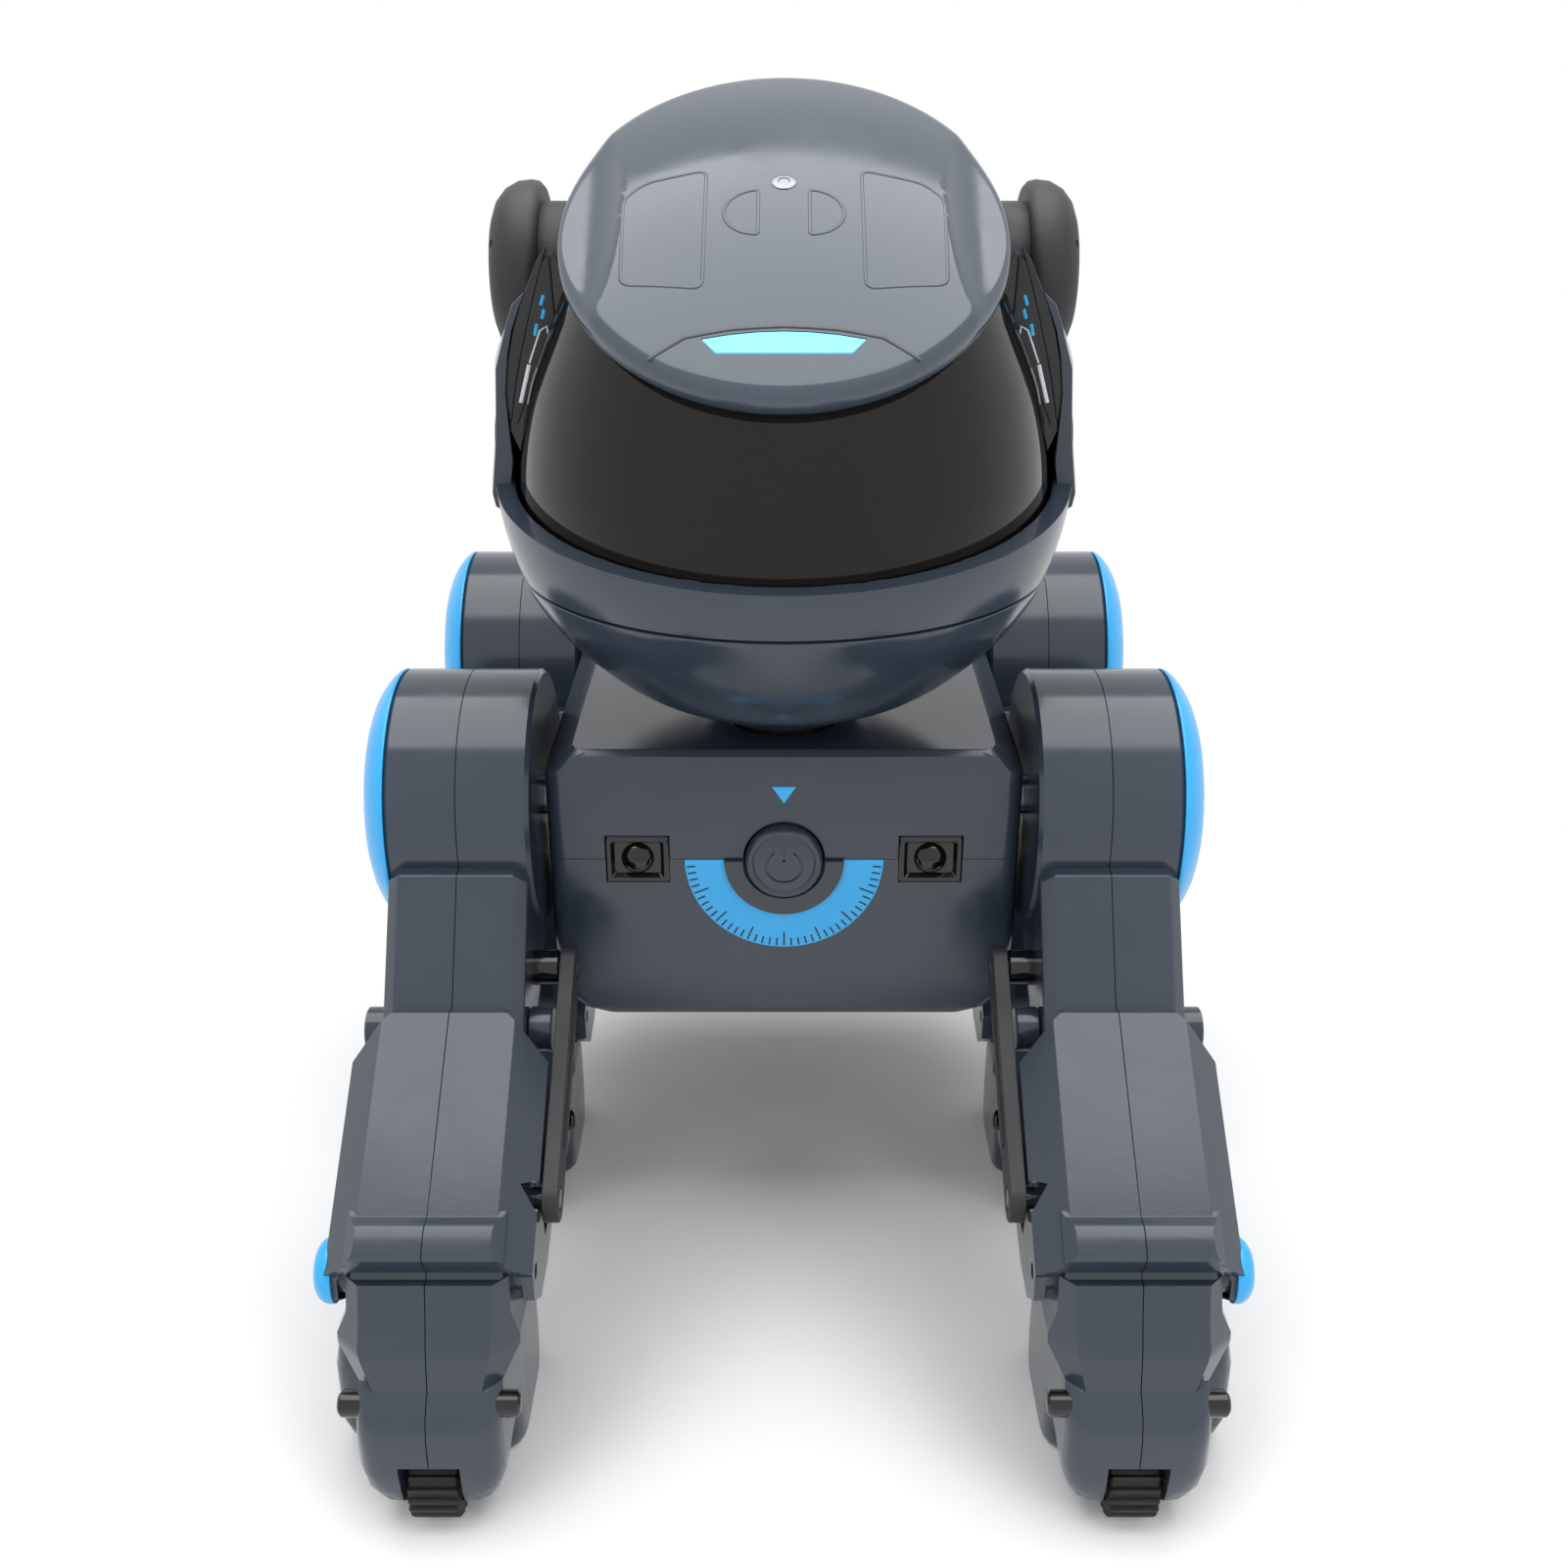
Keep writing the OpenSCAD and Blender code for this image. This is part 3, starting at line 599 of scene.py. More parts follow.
@dataclass
class Body:
    """The box body: two housings, the front panel and what it carries."""

    places: Places
    corner_r: float = 3.6
    wall: float = 2.2
    top_edge: float = 2.4
    top_side: float = 5.5
    top_drop: float = 4.5
    neck_hole_r: float = 12.4
    button_gap: float = 0.35
    lens_r: float = 3.3
    lens_rise: float = 2.1
    grip_half: float = 9.0
    grip_count: int = 7
    collar_out: float = 1.1
    mark_raise: float = 0.12
    mark_w: float = 4.7
    mark_h: float = 3.6
    mark_above: float = 12.4
    tick_count: int = 41
    tick_w: float = 0.34

    def __post_init__(self) -> None:
        """Takes the main sizes from the frame."""
        upper_low, upper_high = self.places.low("body_upper_shell"), self.places.high("body_upper_shell")
        lower_low = self.places.low("chest_shell")
        self.half_w = upper_high.x
        self.front, self.tail = upper_low.y, upper_high.y
        self.seam, self.top = upper_low.z, upper_high.z
        self.bottom = lower_low.z
        self.belly = self.places.low("battery_cover").z
        self.chest_end = self.front + 22
        self.belly_half = self.places.high("battery_cover").x + 15.2
        dial_low, dial_high = self.places.low("dial_ring"), self.places.high("dial_ring")
        self.dial_r = dial_high.x
        self.dial_in = self.dial_r - 8
        self.dial_face = dial_low.y
        button_low, button_high = self.places.low("power_button"), self.places.high("power_button")
        self.button_r = button_high.x
        self.button_face = button_low.y
        window_low, window_high = self.places.low("sensor_windows"), self.places.high("sensor_windows")
        self.window_h = window_high.z - window_low.z
        self.window_w = self.window_h * 1.25
        self.window_x = window_high.x - self.window_w / 2

    def plan(self, z: float, side_in: float, front_in: float, back_in: float, half: float,
             start: float, end: float) -> list[Vector]:
        """A rounded plan outline at a height.

        Args:
            z: The height.
            side_in: How far the sides are pulled in.
            front_in: How far the front is pulled in.
            back_in: How far the back is pulled in.
            half: Half the full width.
            start: The front's y.
            end: The back's y.

        Returns:
            The corners in metres.
        """
        x, y0, y1 = half - side_in, start + front_in, end - back_in
        corners = rounded_profile([(-x, y0), (x, y0), (x, y1), (-x, y1)], self.corner_r, 5)
        return [mm(px, py, z) for px, py in corners]

    def shell_of(self, piece: bpy.types.Object, z: float) -> bpy.types.Object:
        """Opens a solid at the seam and gives it its wall.

        Args:
            piece: The closed solid.
            z: The height of the seam.

        Returns:
            The same piece, hollow.
        """
        with editing(piece, "DESELECT"):
            bpy.ops.mesh.select_mode(type="FACE")
            shape = bmesh.from_edit_mesh(piece.data)
            for face in shape.faces:
                face.select_set(all(abs(v.co.z - z * MM) < 0.02 * MM for v in face.verts))
            bmesh.update_edit_mesh(piece.data)
            bpy.ops.mesh.delete(type="FACE")
            bpy.ops.mesh.select_mode(type="VERT")
        return apply_modifier(piece, "SOLIDIFY", thickness=self.wall * MM, offset=-1, use_even_offset=True)

    def front_cutters(self) -> list[bpy.types.Object]:
        """The holes of the front panel: one for the button and one for each sensor window."""
        depth = 5.0
        start = mm(0, self.front - 2, self.seam)
        hole = [(0, 0), (self.button_r + self.button_gap, 0), (self.button_r + self.button_gap, depth + 2),
                (0, depth + 2)]
        made = [turned("button_hole", hole, start, Spin.BACKWARDS, 64)]
        half_w, half_h = self.window_w / 2, self.window_h / 2
        for side in (-1, 1):
            x = side * self.window_x
            made.append(extruded("window_hole", [
                mm(x - half_w, self.front - 2, self.seam - half_h),
                mm(x + half_w, self.front - 2, self.seam - half_h),
                mm(x + half_w, self.front - 2, self.seam + half_h),
                mm(x - half_w, self.front - 2, self.seam + half_h)], mm(0, depth + 2, 0)))
        return made

    def upper_housing(self) -> bpy.types.Object:
        """The upper housing with its narrow front ridge and broad side bevels."""
        half, start, end = self.half_w, self.front, self.tail
        made = lofted("upper_housing", [
            self.plan(self.seam, 0, 0, 0, half, start, end),
            self.plan(self.top - self.top_drop, 0, 0, 0, half, start, end),
            self.plan(self.top - 1.2, self.top_side * 0.72, self.top_edge * 0.5, 2, half, start, end),
            self.plan(self.top, self.top_side, self.top_edge, 4, half, start, end)])
        self.shell_of(made, self.seam)
        neck = self.places.joint("head_yaw")
        hole = [(0, -8), (self.neck_hole_r, -8), (self.neck_hole_r, 8), (0, 8)]
        combine(made, [turned("neck_hole", hole, mm(neck.x, neck.y, self.top), Spin.UP, 64),
                       *self.front_cutters()])
        return soften(made, 0.45, 2, 24)

    def lower_housing(self) -> bpy.types.Object:
        """The lower housing: a full-width chest with a rolled underside, and a narrower belly."""
        half, start, end = self.half_w, self.front, self.chest_end
        chest = lofted("lower_housing", [
            self.plan(self.seam, 0, 0, 0, half, start, end),
            self.plan(self.bottom + 14, 0, 0, 0, half, start, end),
            self.plan(self.bottom + 7, 1.6, 0.6, 0, half, start, end),
            self.plan(self.bottom + 3.4, 4.4, 1.4, 0, half, start, end),
            self.plan(self.bottom + 1, 8.4, 3.4, 0.8, half, start, end),
            self.plan(self.bottom, 12, 6.5, 2, half, start, end)])
        belly_start = self.chest_end - 8
        belly = lofted("belly", [
            self.plan(self.seam, 0, 0, 0, self.belly_half, belly_start, self.tail),
            self.plan(self.belly + 4, 0, 0, 0, self.belly_half, belly_start, self.tail),
            self.plan(self.belly + 1, 0.8, 0, 0.8, self.belly_half, belly_start, self.tail),
            self.plan(self.belly, 3, 0, 3, self.belly_half, belly_start, self.tail)])
        combine(chest, [belly], "UNION")
        self.shell_of(chest, self.seam)
        cover_low, cover_high = self.places.low("battery_cover"), self.places.high("battery_cover")
        hatch = extruded("hatch", [
            mm(cover_low.x - 0.3, cover_low.y - 0.3, self.belly - 3),
            mm(cover_high.x + 0.3, cover_low.y - 0.3, self.belly - 3),
            mm(cover_high.x + 0.3, cover_high.y + 0.3, self.belly - 3),
            mm(cover_low.x - 0.3, cover_high.y + 0.3, self.belly - 3)], mm(0, 0, 8))
        combine(chest, [hatch, *self.front_cutters()])
        return soften(chest, 0.45, 2, 24)

    def half_ring(self, name: str, inner: float, outer: float, face: float, depth: float,
                  steps: int = 48) -> bpy.types.Object:
        """A half ring under the seam, standing off the front panel.

        Args:
            name: The piece's name.
            inner: Its inner radius.
            outer: Its outer radius.
            face: The y of its front face.
            depth: Its thickness, backwards.
            steps: Segments along the half turn.

        Returns:
            The closed solid.
        """
        edge = arc((0, self.seam), outer, 180, 360, steps) + arc((0, self.seam), inner, 360, 180, steps)
        made = extruded(name, [mm(x, face, z) for x, z in edge], mm(0, depth, 0))
        return bevel_edges(made, on_plane(1, face), 0.12, 2)

    def ticks(self) -> bpy.types.Object:
        """The dial's printed marks, with every fifth one longer."""
        made: list[bpy.types.Object] = []
        for i in range(1, self.tick_count - 1):
            angle = math.radians(180 + 180 * i / (self.tick_count - 1))
            length = 3.1 if i % 5 == 0 else 1.7
            out = Vector((math.cos(angle), 0, math.sin(angle)))
            across = Vector((-math.sin(angle), 0, math.cos(angle))) * self.tick_w / 2
            middle = Vector((0, self.dial_face - 0.04, self.seam))
            far, near = middle + out * (self.dial_r - 0.35), middle + out * (self.dial_r - 0.35 - length)
            corners = [near - across, near + across, far + across, far - across]
            made.append(extruded("dial_ticks", [c * MM for c in corners], mm(0, 0.2, 0)))
        return joined(made[0], made[1:])

    def triangle(self) -> bpy.types.Object:
        """The printed arrowhead over the button."""
        z = self.seam + self.mark_above
        face = self.front - self.mark_raise
        corners = [(0, z), (self.mark_w / 2, z + self.mark_h), (-self.mark_w / 2, z + self.mark_h)]
        return extruded("panel_arrow", [mm(x, face, y) for x, y in corners], mm(0, 0.4, 0))

    def button(self) -> bpy.types.Object:
        """The power button: a shallow dome with a dished face and a sunken power sign."""
        r, y = self.button_r, self.button_face
        profile = [(0, -0.1), (r * 0.5, -0.06), (r * 0.74, 0.05), (r * 0.8, 0.28), (r * 0.86, 0.05),
                   (r * 0.93, 0.12), (r * 0.98, 0.5), (r, 1.0), (r, 6.0), (0, 6.0)]
        made = turned("power_button_cap", profile, mm(0, y + 0.1, self.seam), Spin.BACKWARDS, 96)
        ring = arc((0, self.seam - 0.2), 3.9, 124, 416, 40) + arc((0, self.seam - 0.2), 3.2, 416, 124, 40)
        sign = extruded("sign_ring", [mm(x, y - 1, z) for x, z in ring], mm(0, 1.45, 0))
        stem = [(-0.36, self.seam + 0.6), (0.36, self.seam + 0.6), (0.36, self.seam + 4.4),
                (-0.36, self.seam + 4.4)]
        stroke = extruded("sign_bar", [mm(x, y - 1, z) for x, z in stem], mm(0, 1.45, 0))
        return combine(made, [sign, stroke])

    def window(self, side: int) -> bpy.types.Object:
        """A sensor window: a black frame with a bevelled well that holds the lens."""
        x, gap = side * self.window_x, 0.12
        half_w, half_h = self.window_w / 2 - gap, self.window_h / 2 - gap
        face = self.front - 0.25

        def ring(inset: float, y: float) -> list[Vector]:
            w, h = half_w - inset, half_h - inset
            corners = rounded_profile([
                (x - w, self.seam - h), (x + w, self.seam - h),
                (x + w, self.seam + h), (x - w, self.seam + h)], 0.6, 3)
            return [mm(px, y, pz) for px, pz in corners]

        return lofted("sensor_window_" + ("left" if side > 0 else "right"), [
            ring(0, self.front + 2.4), ring(0, face + 0.25), ring(0.25, face), ring(1.0, face),
            ring(1.5, face + 0.7), ring(1.7, face + 1.0)])

    def lens(self, side: int) -> bpy.types.Object:
        """A lens dome in its collar."""
        r, rise, steps = self.lens_r, self.lens_rise, 8
        turns = [math.pi / 2 * i / steps for i in range(steps, -1, -1)]
        dome = [(max(r * math.cos(a), 0.0), -rise * math.sin(a)) for a in turns]
        profile = [*dome, (r, 0.6), (0, 0.6)]
        name = "sensor_lens_" + ("left" if side > 0 else "right")
        spot = mm(side * self.window_x, self.front + 0.7, self.seam)
        return turned(name, profile, spot, Spin.BACKWARDS, 48)

    def hatch(self) -> bpy.types.Object:
        """The battery cover with a sunk thumb grip."""
        low, high = self.places.low("battery_cover"), self.places.high("battery_cover")

        def ring(inset: float, z: float) -> list[Vector]:
            corners = rounded_profile([
                (low.x + inset, low.y + inset), (high.x - inset, low.y + inset),
                (high.x - inset, high.y - inset), (low.x + inset, high.y - inset)], 3, 4)
            return [mm(px, py, z) for px, py in corners]

        made = lofted("battery_hatch", [ring(0, high.z), ring(0, low.z + 0.4), ring(0.4, low.z)])
        grips = []
        half, z = self.grip_half, low.z - 1
        for i in range(self.grip_count):
            y0 = low.y + 26 + i * 3.2
            y1 = y0 + 1.4
            grips.append(extruded("grip", [
                mm(-half, y0, z), mm(half, y0, z), mm(half, y1, z), mm(-half, y1, z)], mm(0, 0, 1.7)))
        return combine(made, grips)

    def build(self) -> None:
        """Models, dresses and mounts the body."""
        fit(self.upper_housing(), Fitting("root", Surface.HOUSING, "housing", ("body_upper_shell",)))
        lower = ("body_lower_shell", "chest_shell")
        fit(self.lower_housing(), Fitting("root", Surface.HOUSING, "housing", lower))
        fit(self.half_ring("dial", self.dial_in, self.dial_r, self.dial_face, 1.1),
            Fitting("root", Surface.BLUE, "blue_trim", ("dial_ring",)))
        fit(self.ticks(), Fitting("root", Surface.BLACK_INK, "black_trim"))
        # painted shade: the collar is the housing's own ABS, dressed in the darker DARK finish to paint the
        # shade on it
        collar = self.half_ring("button_collar", self.button_r + 0.5, self.dial_in,
                                self.front - self.collar_out, 1.6)
        fit(collar, Fitting("root", Surface.DARK, "dark_trim"))
        fit(self.triangle(), Fitting("root", Surface.BLUE_INK, "blue_trim"))
        fit(self.button(), Fitting("button", Surface.HOUSING, "dark_trim", ("power_button",)))
        windows = ("sensor_windows",)
        lenses = ("sensor_lenses",)
        for side in (-1, 1):
            fit(self.window(side), Fitting("root", Surface.PIANO, "black_trim", windows))
            fit(self.lens(side), Fitting("root", Surface.LENS, "lens", lenses))
            windows = lenses = ()
        fit(self.hatch(), Fitting("root", Surface.DARK, "dark_trim", ("battery_cover",)))
        for node, surface, slot in [
            ("control_board", Surface.BOARD, "circuit_board"), ("battery_pack", Surface.WRAP, "battery"),
            ("leg_motors", Surface.CAN, "motor_can"), ("hip_shafts", Surface.STEEL, "steel"),
        ]:
            self.places.dress(node, surface, slot)


# ---------------------------------------------------------------- legs


@dataclass
class Leg:
    """The front left leg's moulded pieces, and their copies on the other legs."""

    places: Places
    barrel_in: float = 14.0
    shin_half: float = 18.5
    shin_wall: float = 2.0
    shin_front: float = 13.1
    shin_lean: float = 35.6
    plate_cut: float = 6.0
    elbow_r: float = 10.2
    arm_length: float = 29.0
    arm_bevel: float = 2.4
    foot_half: float = 13.0
    well_half: float = 5.5
    pin_r: float = 2.0
    cap_r: float = 15.2
    rib_count: int = 22

    def __post_init__(self) -> None:
        """Takes the joints and main sizes from the frame."""
        name = "front_left"
        self.hip = self.places.joint(name + "_hip").yz
        self.elbow = self.places.joint(name + "_elbow").yz
        self.knee = self.places.joint(name + "_knee").yz
        self.pivot = self.places.joint(name + "_link_swing").yz
        self.wheel = self.places.joint(name + "_wheel_spin").yz
        self.link_end = self.knee + self.pivot - self.elbow
        self.seam = self.places.low(name + "_upper_outer_shell").x
        self.x0 = self.seam - self.barrel_in
        self.x1 = self.places.low(name + "_hip_ring").x
        self.ring_x = self.places.high(name + "_hip_ring").x
        self.hip_r = self.places.high(name + "_hip_ring").z - self.hip.y
        self.link_x = (self.places.low(name + "_link").x, self.places.high(name + "_link").x)
        self.foot_front = self.places.low(name + "_foot").y
        self.heel_end = self.places.high(name + "_foot").y
        self.heel_x = self.places.high(name + "_foot").x
        self.wheel_r = self.wheel.y
        slope = math.radians(self.shin_lean)
        self.shin_dir = Vector((-math.cos(slope), -math.sin(slope)))
        self.shin_out = Vector((-math.sin(slope), math.cos(slope)))
        self.made: list[tuple[bpy.types.Object, Fitting]] = []

    def at(self, along: float, out: float) -> Point:
        """A side-view point, along the shin from the elbow and out from its front face."""
        spot = self.elbow + self.shin_dir * along + self.shin_out * (self.shin_front + out)
        return spot.x, spot.y

    def keep(self, piece: bpy.types.Object, fitting: Fitting) -> None:
        """Notes a finished piece until the legs are copied."""
        self.made.append((piece, fitting))

    def arm_outline(self, grow: float = 0.0) -> list[Point]:
        """The side view of the arm under the barrel, grown all round."""
        lean = math.radians(33.7)
        forward = Vector((-math.cos(lean), math.sin(lean)))
        upward = Vector((math.sin(lean), math.cos(lean)))
        tip = self.elbow + (self.elbow_r + grow) * forward + self.arm_length * upward
        turn = 180 - math.degrees(lean)
        under = self.hip + Vector((0, 1 - self.hip_r - grow))
        end = arc(self.elbow, self.elbow_r + grow, turn, turn + 180, 24)
        return [(self.hip.x, self.hip.y), (tip.x, tip.y), *end, (under.x, under.y)]

    def upper(self) -> None:
        """The two halves of the upper leg, with the hip's barrel, its cap and its ring."""
        whole = bar("upper_outer", self.hip, self.hip_r, self.x0, self.x1, 128, 0.8)
        arm = slab("arm", self.arm_outline(), self.x0 + 0.6, self.x1 - 0.4)
        for x in (self.x0 + 0.6, self.x1 - 0.4):
            bevel_edges(arm, on_plane(0, x), self.arm_bevel, 1)
        soften(arm, 0.3, 2, 30)
        combine(whole, [arm], "UNION")
        inner = split_off(whole, self.seam, "upper_inner")
        r, t = self.hip_r, self.ring_x - self.x1
        rim = self.cap_r
        disc = [(0, 0), (rim, 0), (rim, t - 1.4), (rim - 0.6, t - 0.8), (rim - 3.0, t - 0.8),
                (rim - 3.6, t - 1.6), (0, t - 1.6)]
        cap = turned("cap", disc, mm(self.x1 - 0.2, *self.hip), Spin.SIDEWAYS, 96)
        self.keep(joined(whole, [cap]), Fitting("upper", Surface.HOUSING, "housing", ("upper_outer_shell",)))
        self.keep(inner, Fitting("upper", Surface.HOUSING, "housing", ("upper_inner_shell",)))
        bore = rim + 0.1
        edge = [(bore, 0), (r - 0.1, 0), (r, 0.35), (r - 0.25, t * 0.16), (r - 1.2, t * 0.36),
                (r - 2.7, t * 0.58), (r - 4.6, t * 0.78), (r - 6.8, t * 0.93), (r - 8.8, t),
                (bore + 0.6, t), (bore, t - 0.6)]
        ring = turned("hip_ring", edge, mm(self.x1, *self.hip), Spin.SIDEWAYS, 128)
        self.keep(ring, Fitting("upper", Surface.BLUE, "blue_trim", ("hip_ring",), 50))
        pin = bar("link_pivot", self.pivot, self.pin_r, self.link_x[0], self.x0 + 1, 32, 0.4)
        boss = bar("boss", self.pivot, self.pin_r + 1.5, self.link_x[1] + 0.4, self.x0 + 1, 32, 0.2)
        self.keep(joined(pin, [boss]), Fitting("upper", Surface.PIANO, "black_trim"))

    def across(self, along: float, out: float, x: float) -> Vector:
        """A point of the shin in space, in metres."""
        return mm(x, *self.at(along, out))

    def chamfered(self, name: str, outline: Sequence[Point], half: float, inset: float) -> bpy.types.Object:
        """A slab in the shin's shape, with its long front corners and its top corners cut off.

        Args:
            name: The piece's name.
            outline: Its side view, as (along, out).
            half: Half its width.
            inset: How far its faces lie inside the shin's.

        Returns:
            The closed solid.
        """
        made = slab(name, [self.at(*p) for p in outline], self.seam - half, self.seam + half)
        out = Vector((0, *self.shin_out))
        down = Vector((0, *self.shin_dir))
        for side in (-1, 1):
            outwards = Vector((side, 0, 0))
            edge = self.across(0, -self.plate_cut - inset * 0.83, self.seam + side * (self.shin_half - inset))
            trim(made, edge, outwards + out)
            if inset == 0:
                top = self.across(9.5, 0, self.seam + side * self.shin_half)
                trim(made, top, outwards * 1.25 - down)
        return made

    def shin(self) -> None:
        """The shin: a chamfered cover with a rolled lip, open behind, in two halves."""
        outer = [(2, 0), (48.6, 0), (49.2, -2.4), (49.4, -7), (52.5, -11), (50, -19), (42, -24),
                 (34, -26), (10, -24), (-7, -19), (-8, -11), (-3, -5)]
        cover = self.chamfered("shin_cover", outer, self.shin_half, 0)
        wall = self.shin_wall
        hollow = self.chamfered("hollow", [(-30, -wall), (46.4, -wall), (48, -wall * 2), (60, -wall * 2),
                                           (60, -34), (-30, -34)], self.shin_half - wall, wall)
        combine(cover, [hollow])
        lip = [(39.4, -0.4), (40.6, 0.1), (41.6, 0.7), (42.5, 1.5), (43.6, 1.8), (47, 1.8),
               (48, 1.45), (48.6, 0.7), (48.8, -1.4), (39.4, -1.4)]
        half = self.shin_half - self.plate_cut + 1.6
        roll = slab("lip", [self.at(*p) for p in lip], self.seam - half, self.seam + half)
        for side in (-1, 1):
            trim(roll, self.across(0, 0, self.seam + side * (half - 0.5)), Vector((side, 0, 0)) + Vector(
                (0, *self.shin_out)) * 0.9)
        combine(cover, [roll], "UNION")
        reach = (self.link_end - self.knee).length
        lean = math.degrees(math.atan2(*(self.link_end - self.knee).yx))
        slot = slab("slot", arc(self.knee, reach + 2.8, lean - 42, lean + 30, 20) +
                    arc(self.knee, reach - 2.8, lean + 30, lean - 42, 20),
                    self.seam - self.shin_half - 2, self.seam - self.shin_half + wall + 1)
        notch = bar("notch", self.at(47.6, -9.6), 1.5, self.seam - self.shin_half - 2,
                    self.seam - self.shin_half + wall + 1, 32)
        room = slab("room", self.arm_outline(0.4), self.x0 - 0.4, self.x1 + 0.4)
        combine(cover, [slot, notch, room])
        soften(cover, 0.35, 2, 28)
        split_at_seam(cover, self.seam)
        pins = []
        for spot, r in ((self.elbow, 4.4), (self.knee, 4.0)):
            for start, end in ((self.seam - self.shin_half + 0.5, self.x0 + 0.4),
                               (self.x1 - 0.4, self.seam + self.shin_half - 0.5)):
                pins.append(bar("pin", spot, r, start, end, 32, 0.2))
        self.keep(joined(cover, pins), Fitting("shin", Surface.HOUSING, "housing", ("shin",)))
        cap_low, cap_high = (f("front_left_knee_cap").x for f in (self.places.low, self.places.high))
        t = cap_high - cap_low
        r = (self.places.high("front_left_knee_cap").y - self.places.low("front_left_knee_cap").y) / 2
        dome = [(0, -1), (r - 0.1, -1), (r, 0), (r - 0.2, t * 0.3), (r - 0.8, t * 0.62), (r - 1.8, t * 0.88),
                (r - 3.2, t), (0, t)]
        cap = turned("knee_cap", dome, mm(cap_low, *self.knee), Spin.SIDEWAYS, 64)
        self.keep(cap, Fitting("shin", Surface.BLUE, "blue_trim", ("knee_cap",), 50))

    def link(self) -> None:
        """The flat linkage arm that keeps the foot level."""
        ends = [self.pivot, self.link_end]
        lean = math.degrees(math.atan2(*(ends[1] - ends[0]).yx))
        outline = arc(ends[0], 4.4, lean + 90, lean + 270, 20) + arc(ends[1], 4.4, lean - 90, lean + 90, 20)
        made = slab("link_arm", outline, *self.link_x)
        middle = (ends[0] + ends[1]) / 2
        run = (ends[1] - ends[0]).normalized() * 12
        slot_r = 1.9
        window = (arc(middle - run, slot_r, lean + 90, lean + 270, 12)
                  + arc(middle + run, slot_r, lean - 90, lean + 90, 12))
        combine(made, [slab("window", window, self.link_x[0] - 1, self.link_x[1] + 1),
                       *(bar("hole", spot, self.pin_r + 0.15, self.link_x[0] - 1, self.link_x[1] + 1, 32)
                         for spot in ends)])
        soften(made, 0.35, 2, 40)
        self.keep(made, Fitting("link", Surface.MATTE, "dark_trim", ("link",)))

    def foot_ring(self, z: float, x0: float, x1: float, front: float, back: float, cut: float,
                  bulge: float) -> list[Vector]:
        """A plan outline of the foot at a height, with two cut or rounded front corners.

        Args:
            z: The height above the floor.
            x0: The inner side.
            x1: The outer side.
            front: The front, behind the foot's foremost point.
            back: The back, behind the foot's foremost point.
            cut: How far from the corner its cut starts.
            bulge: 0 for a straight cut and 1 for a round one.

        Returns:
            The corners in metres.
        """
        y0, y1 = self.foot_front + front, self.foot_front + back
        made = [mm(x1, y1, z)]
        for x, first in ((x1, True), (x0, False)):
            side = 1 if first else -1
            ends = [Vector((x, y0 + cut)), Vector((x - side * cut, y0))]
            corner = Vector((x, y0))
            for step in range(5):
                t = (step if first else 4 - step) / 4
                line = ends[0].lerp(ends[1], t)
                curve = ends[0] * (1 - t) ** 2 + corner * 2 * t * (1 - t) + ends[1] * t ** 2
                spot = line.lerp(curve, bulge)
                made.append(mm(spot.x, spot.y, z))
        return [*made, mm(x0, y1, z)]

    def foot(self) -> None:
        """The foot: a faceted instep over a rounded toe and heel, with a slot for the wheel."""
        a, b = self.seam - self.foot_half, self.seam + self.foot_half
        toe = lofted("foot_shell", [self.foot_ring(*row) for row in [
            (48.4, a - 1.4, b + 1.4, 14.7, 30, 2.6, 0), (42, a - 1.6, b + 1.6, 12.6, 31, 2.8, 0),
            (37.5, a - 3.0, b + 3.6, 10.6, 32, 4.6, 0), (35.5, a - 3.0, b + 3.6, 10.0, 32, 5.0, 0),
            (29.6, a + 0.2, b - 0.2, 8.8, 33, 3.2, 0), (28.6, a, b, 7.4, 33, 3.6, 0.5),
            (26, a, b, 5.2, 33, 4.4, 0.9), (22.5, a, b, 4.2, 33, 4.6, 1), (15, a, b, 4.0, 34, 5.0, 1),
            (10.5, a + 0.5, b - 0.5, 4.6, 34, 5.4, 1), (7, a + 1.6, b - 1.6, 5.8, 34, 5.8, 1),
            (4.8, a + 3.2, b - 3.2, 7.8, 34, 6.2, 1), (3.6, a + 5.4, b - 5.4, 10.0, 34, 6.4, 1)]])
        heel_start = self.wheel.x + self.wheel_r + 2
        x1 = self.heel_x
        heel = lofted("heel", [[mm(x, y, z) for x, y in rounded_profile(
            [(a, heel_start + end), (x1 - side, heel_start + end), (x1 - side, self.heel_end - end),
             (a, self.heel_end - end)], 6, 5)] for z, side, end in [
                 (0, 8.5, 2.6), (0.7, 5.6, 1.6), (2.4, 3.0, 0.8), (4.8, 1.2, 0.3), (8.4, 0, 0), (20, 0, 0.4),
                 (24.6, 0.6, 2.0), (27.6, 2.2, 4.6), (29, 5.0, 8.0)]])
        half = self.foot_half + 0.5
        barrel = bar("barrel", self.knee, 7.5, self.seam - half, self.seam + half, 64, 0.5)
        combine(toe, [barrel, heel], "UNION")
        well = slab("well", [
            (self.wheel.x + y, self.wheel.y + z) for y, z in
            ((-30, 4.6), (-5, 9), (5, 9), (9, 4), (9, -20), (-30, -20))],
            self.seam - self.well_half, self.seam + self.well_half)
        combine(toe, [well])
        soften(toe, 0.3, 2, 30)
        split_at_seam(toe, self.seam)
        reach = self.well_half + 1
        axle = bar("axle", self.wheel, 1.5, self.seam - reach, self.seam + reach, 24)
        start = self.seam - self.shin_half + self.shin_wall + 0.4
        crank = slab("crank", [*arc(self.link_end, 3.0, 20, 200, 12), *arc(self.knee, 5.0, 200, 380, 12)],
                     start, start + 3)
        knob = bar("knob", self.link_end, self.pin_r, self.link_x[0], start + 1, 32, 0.4)
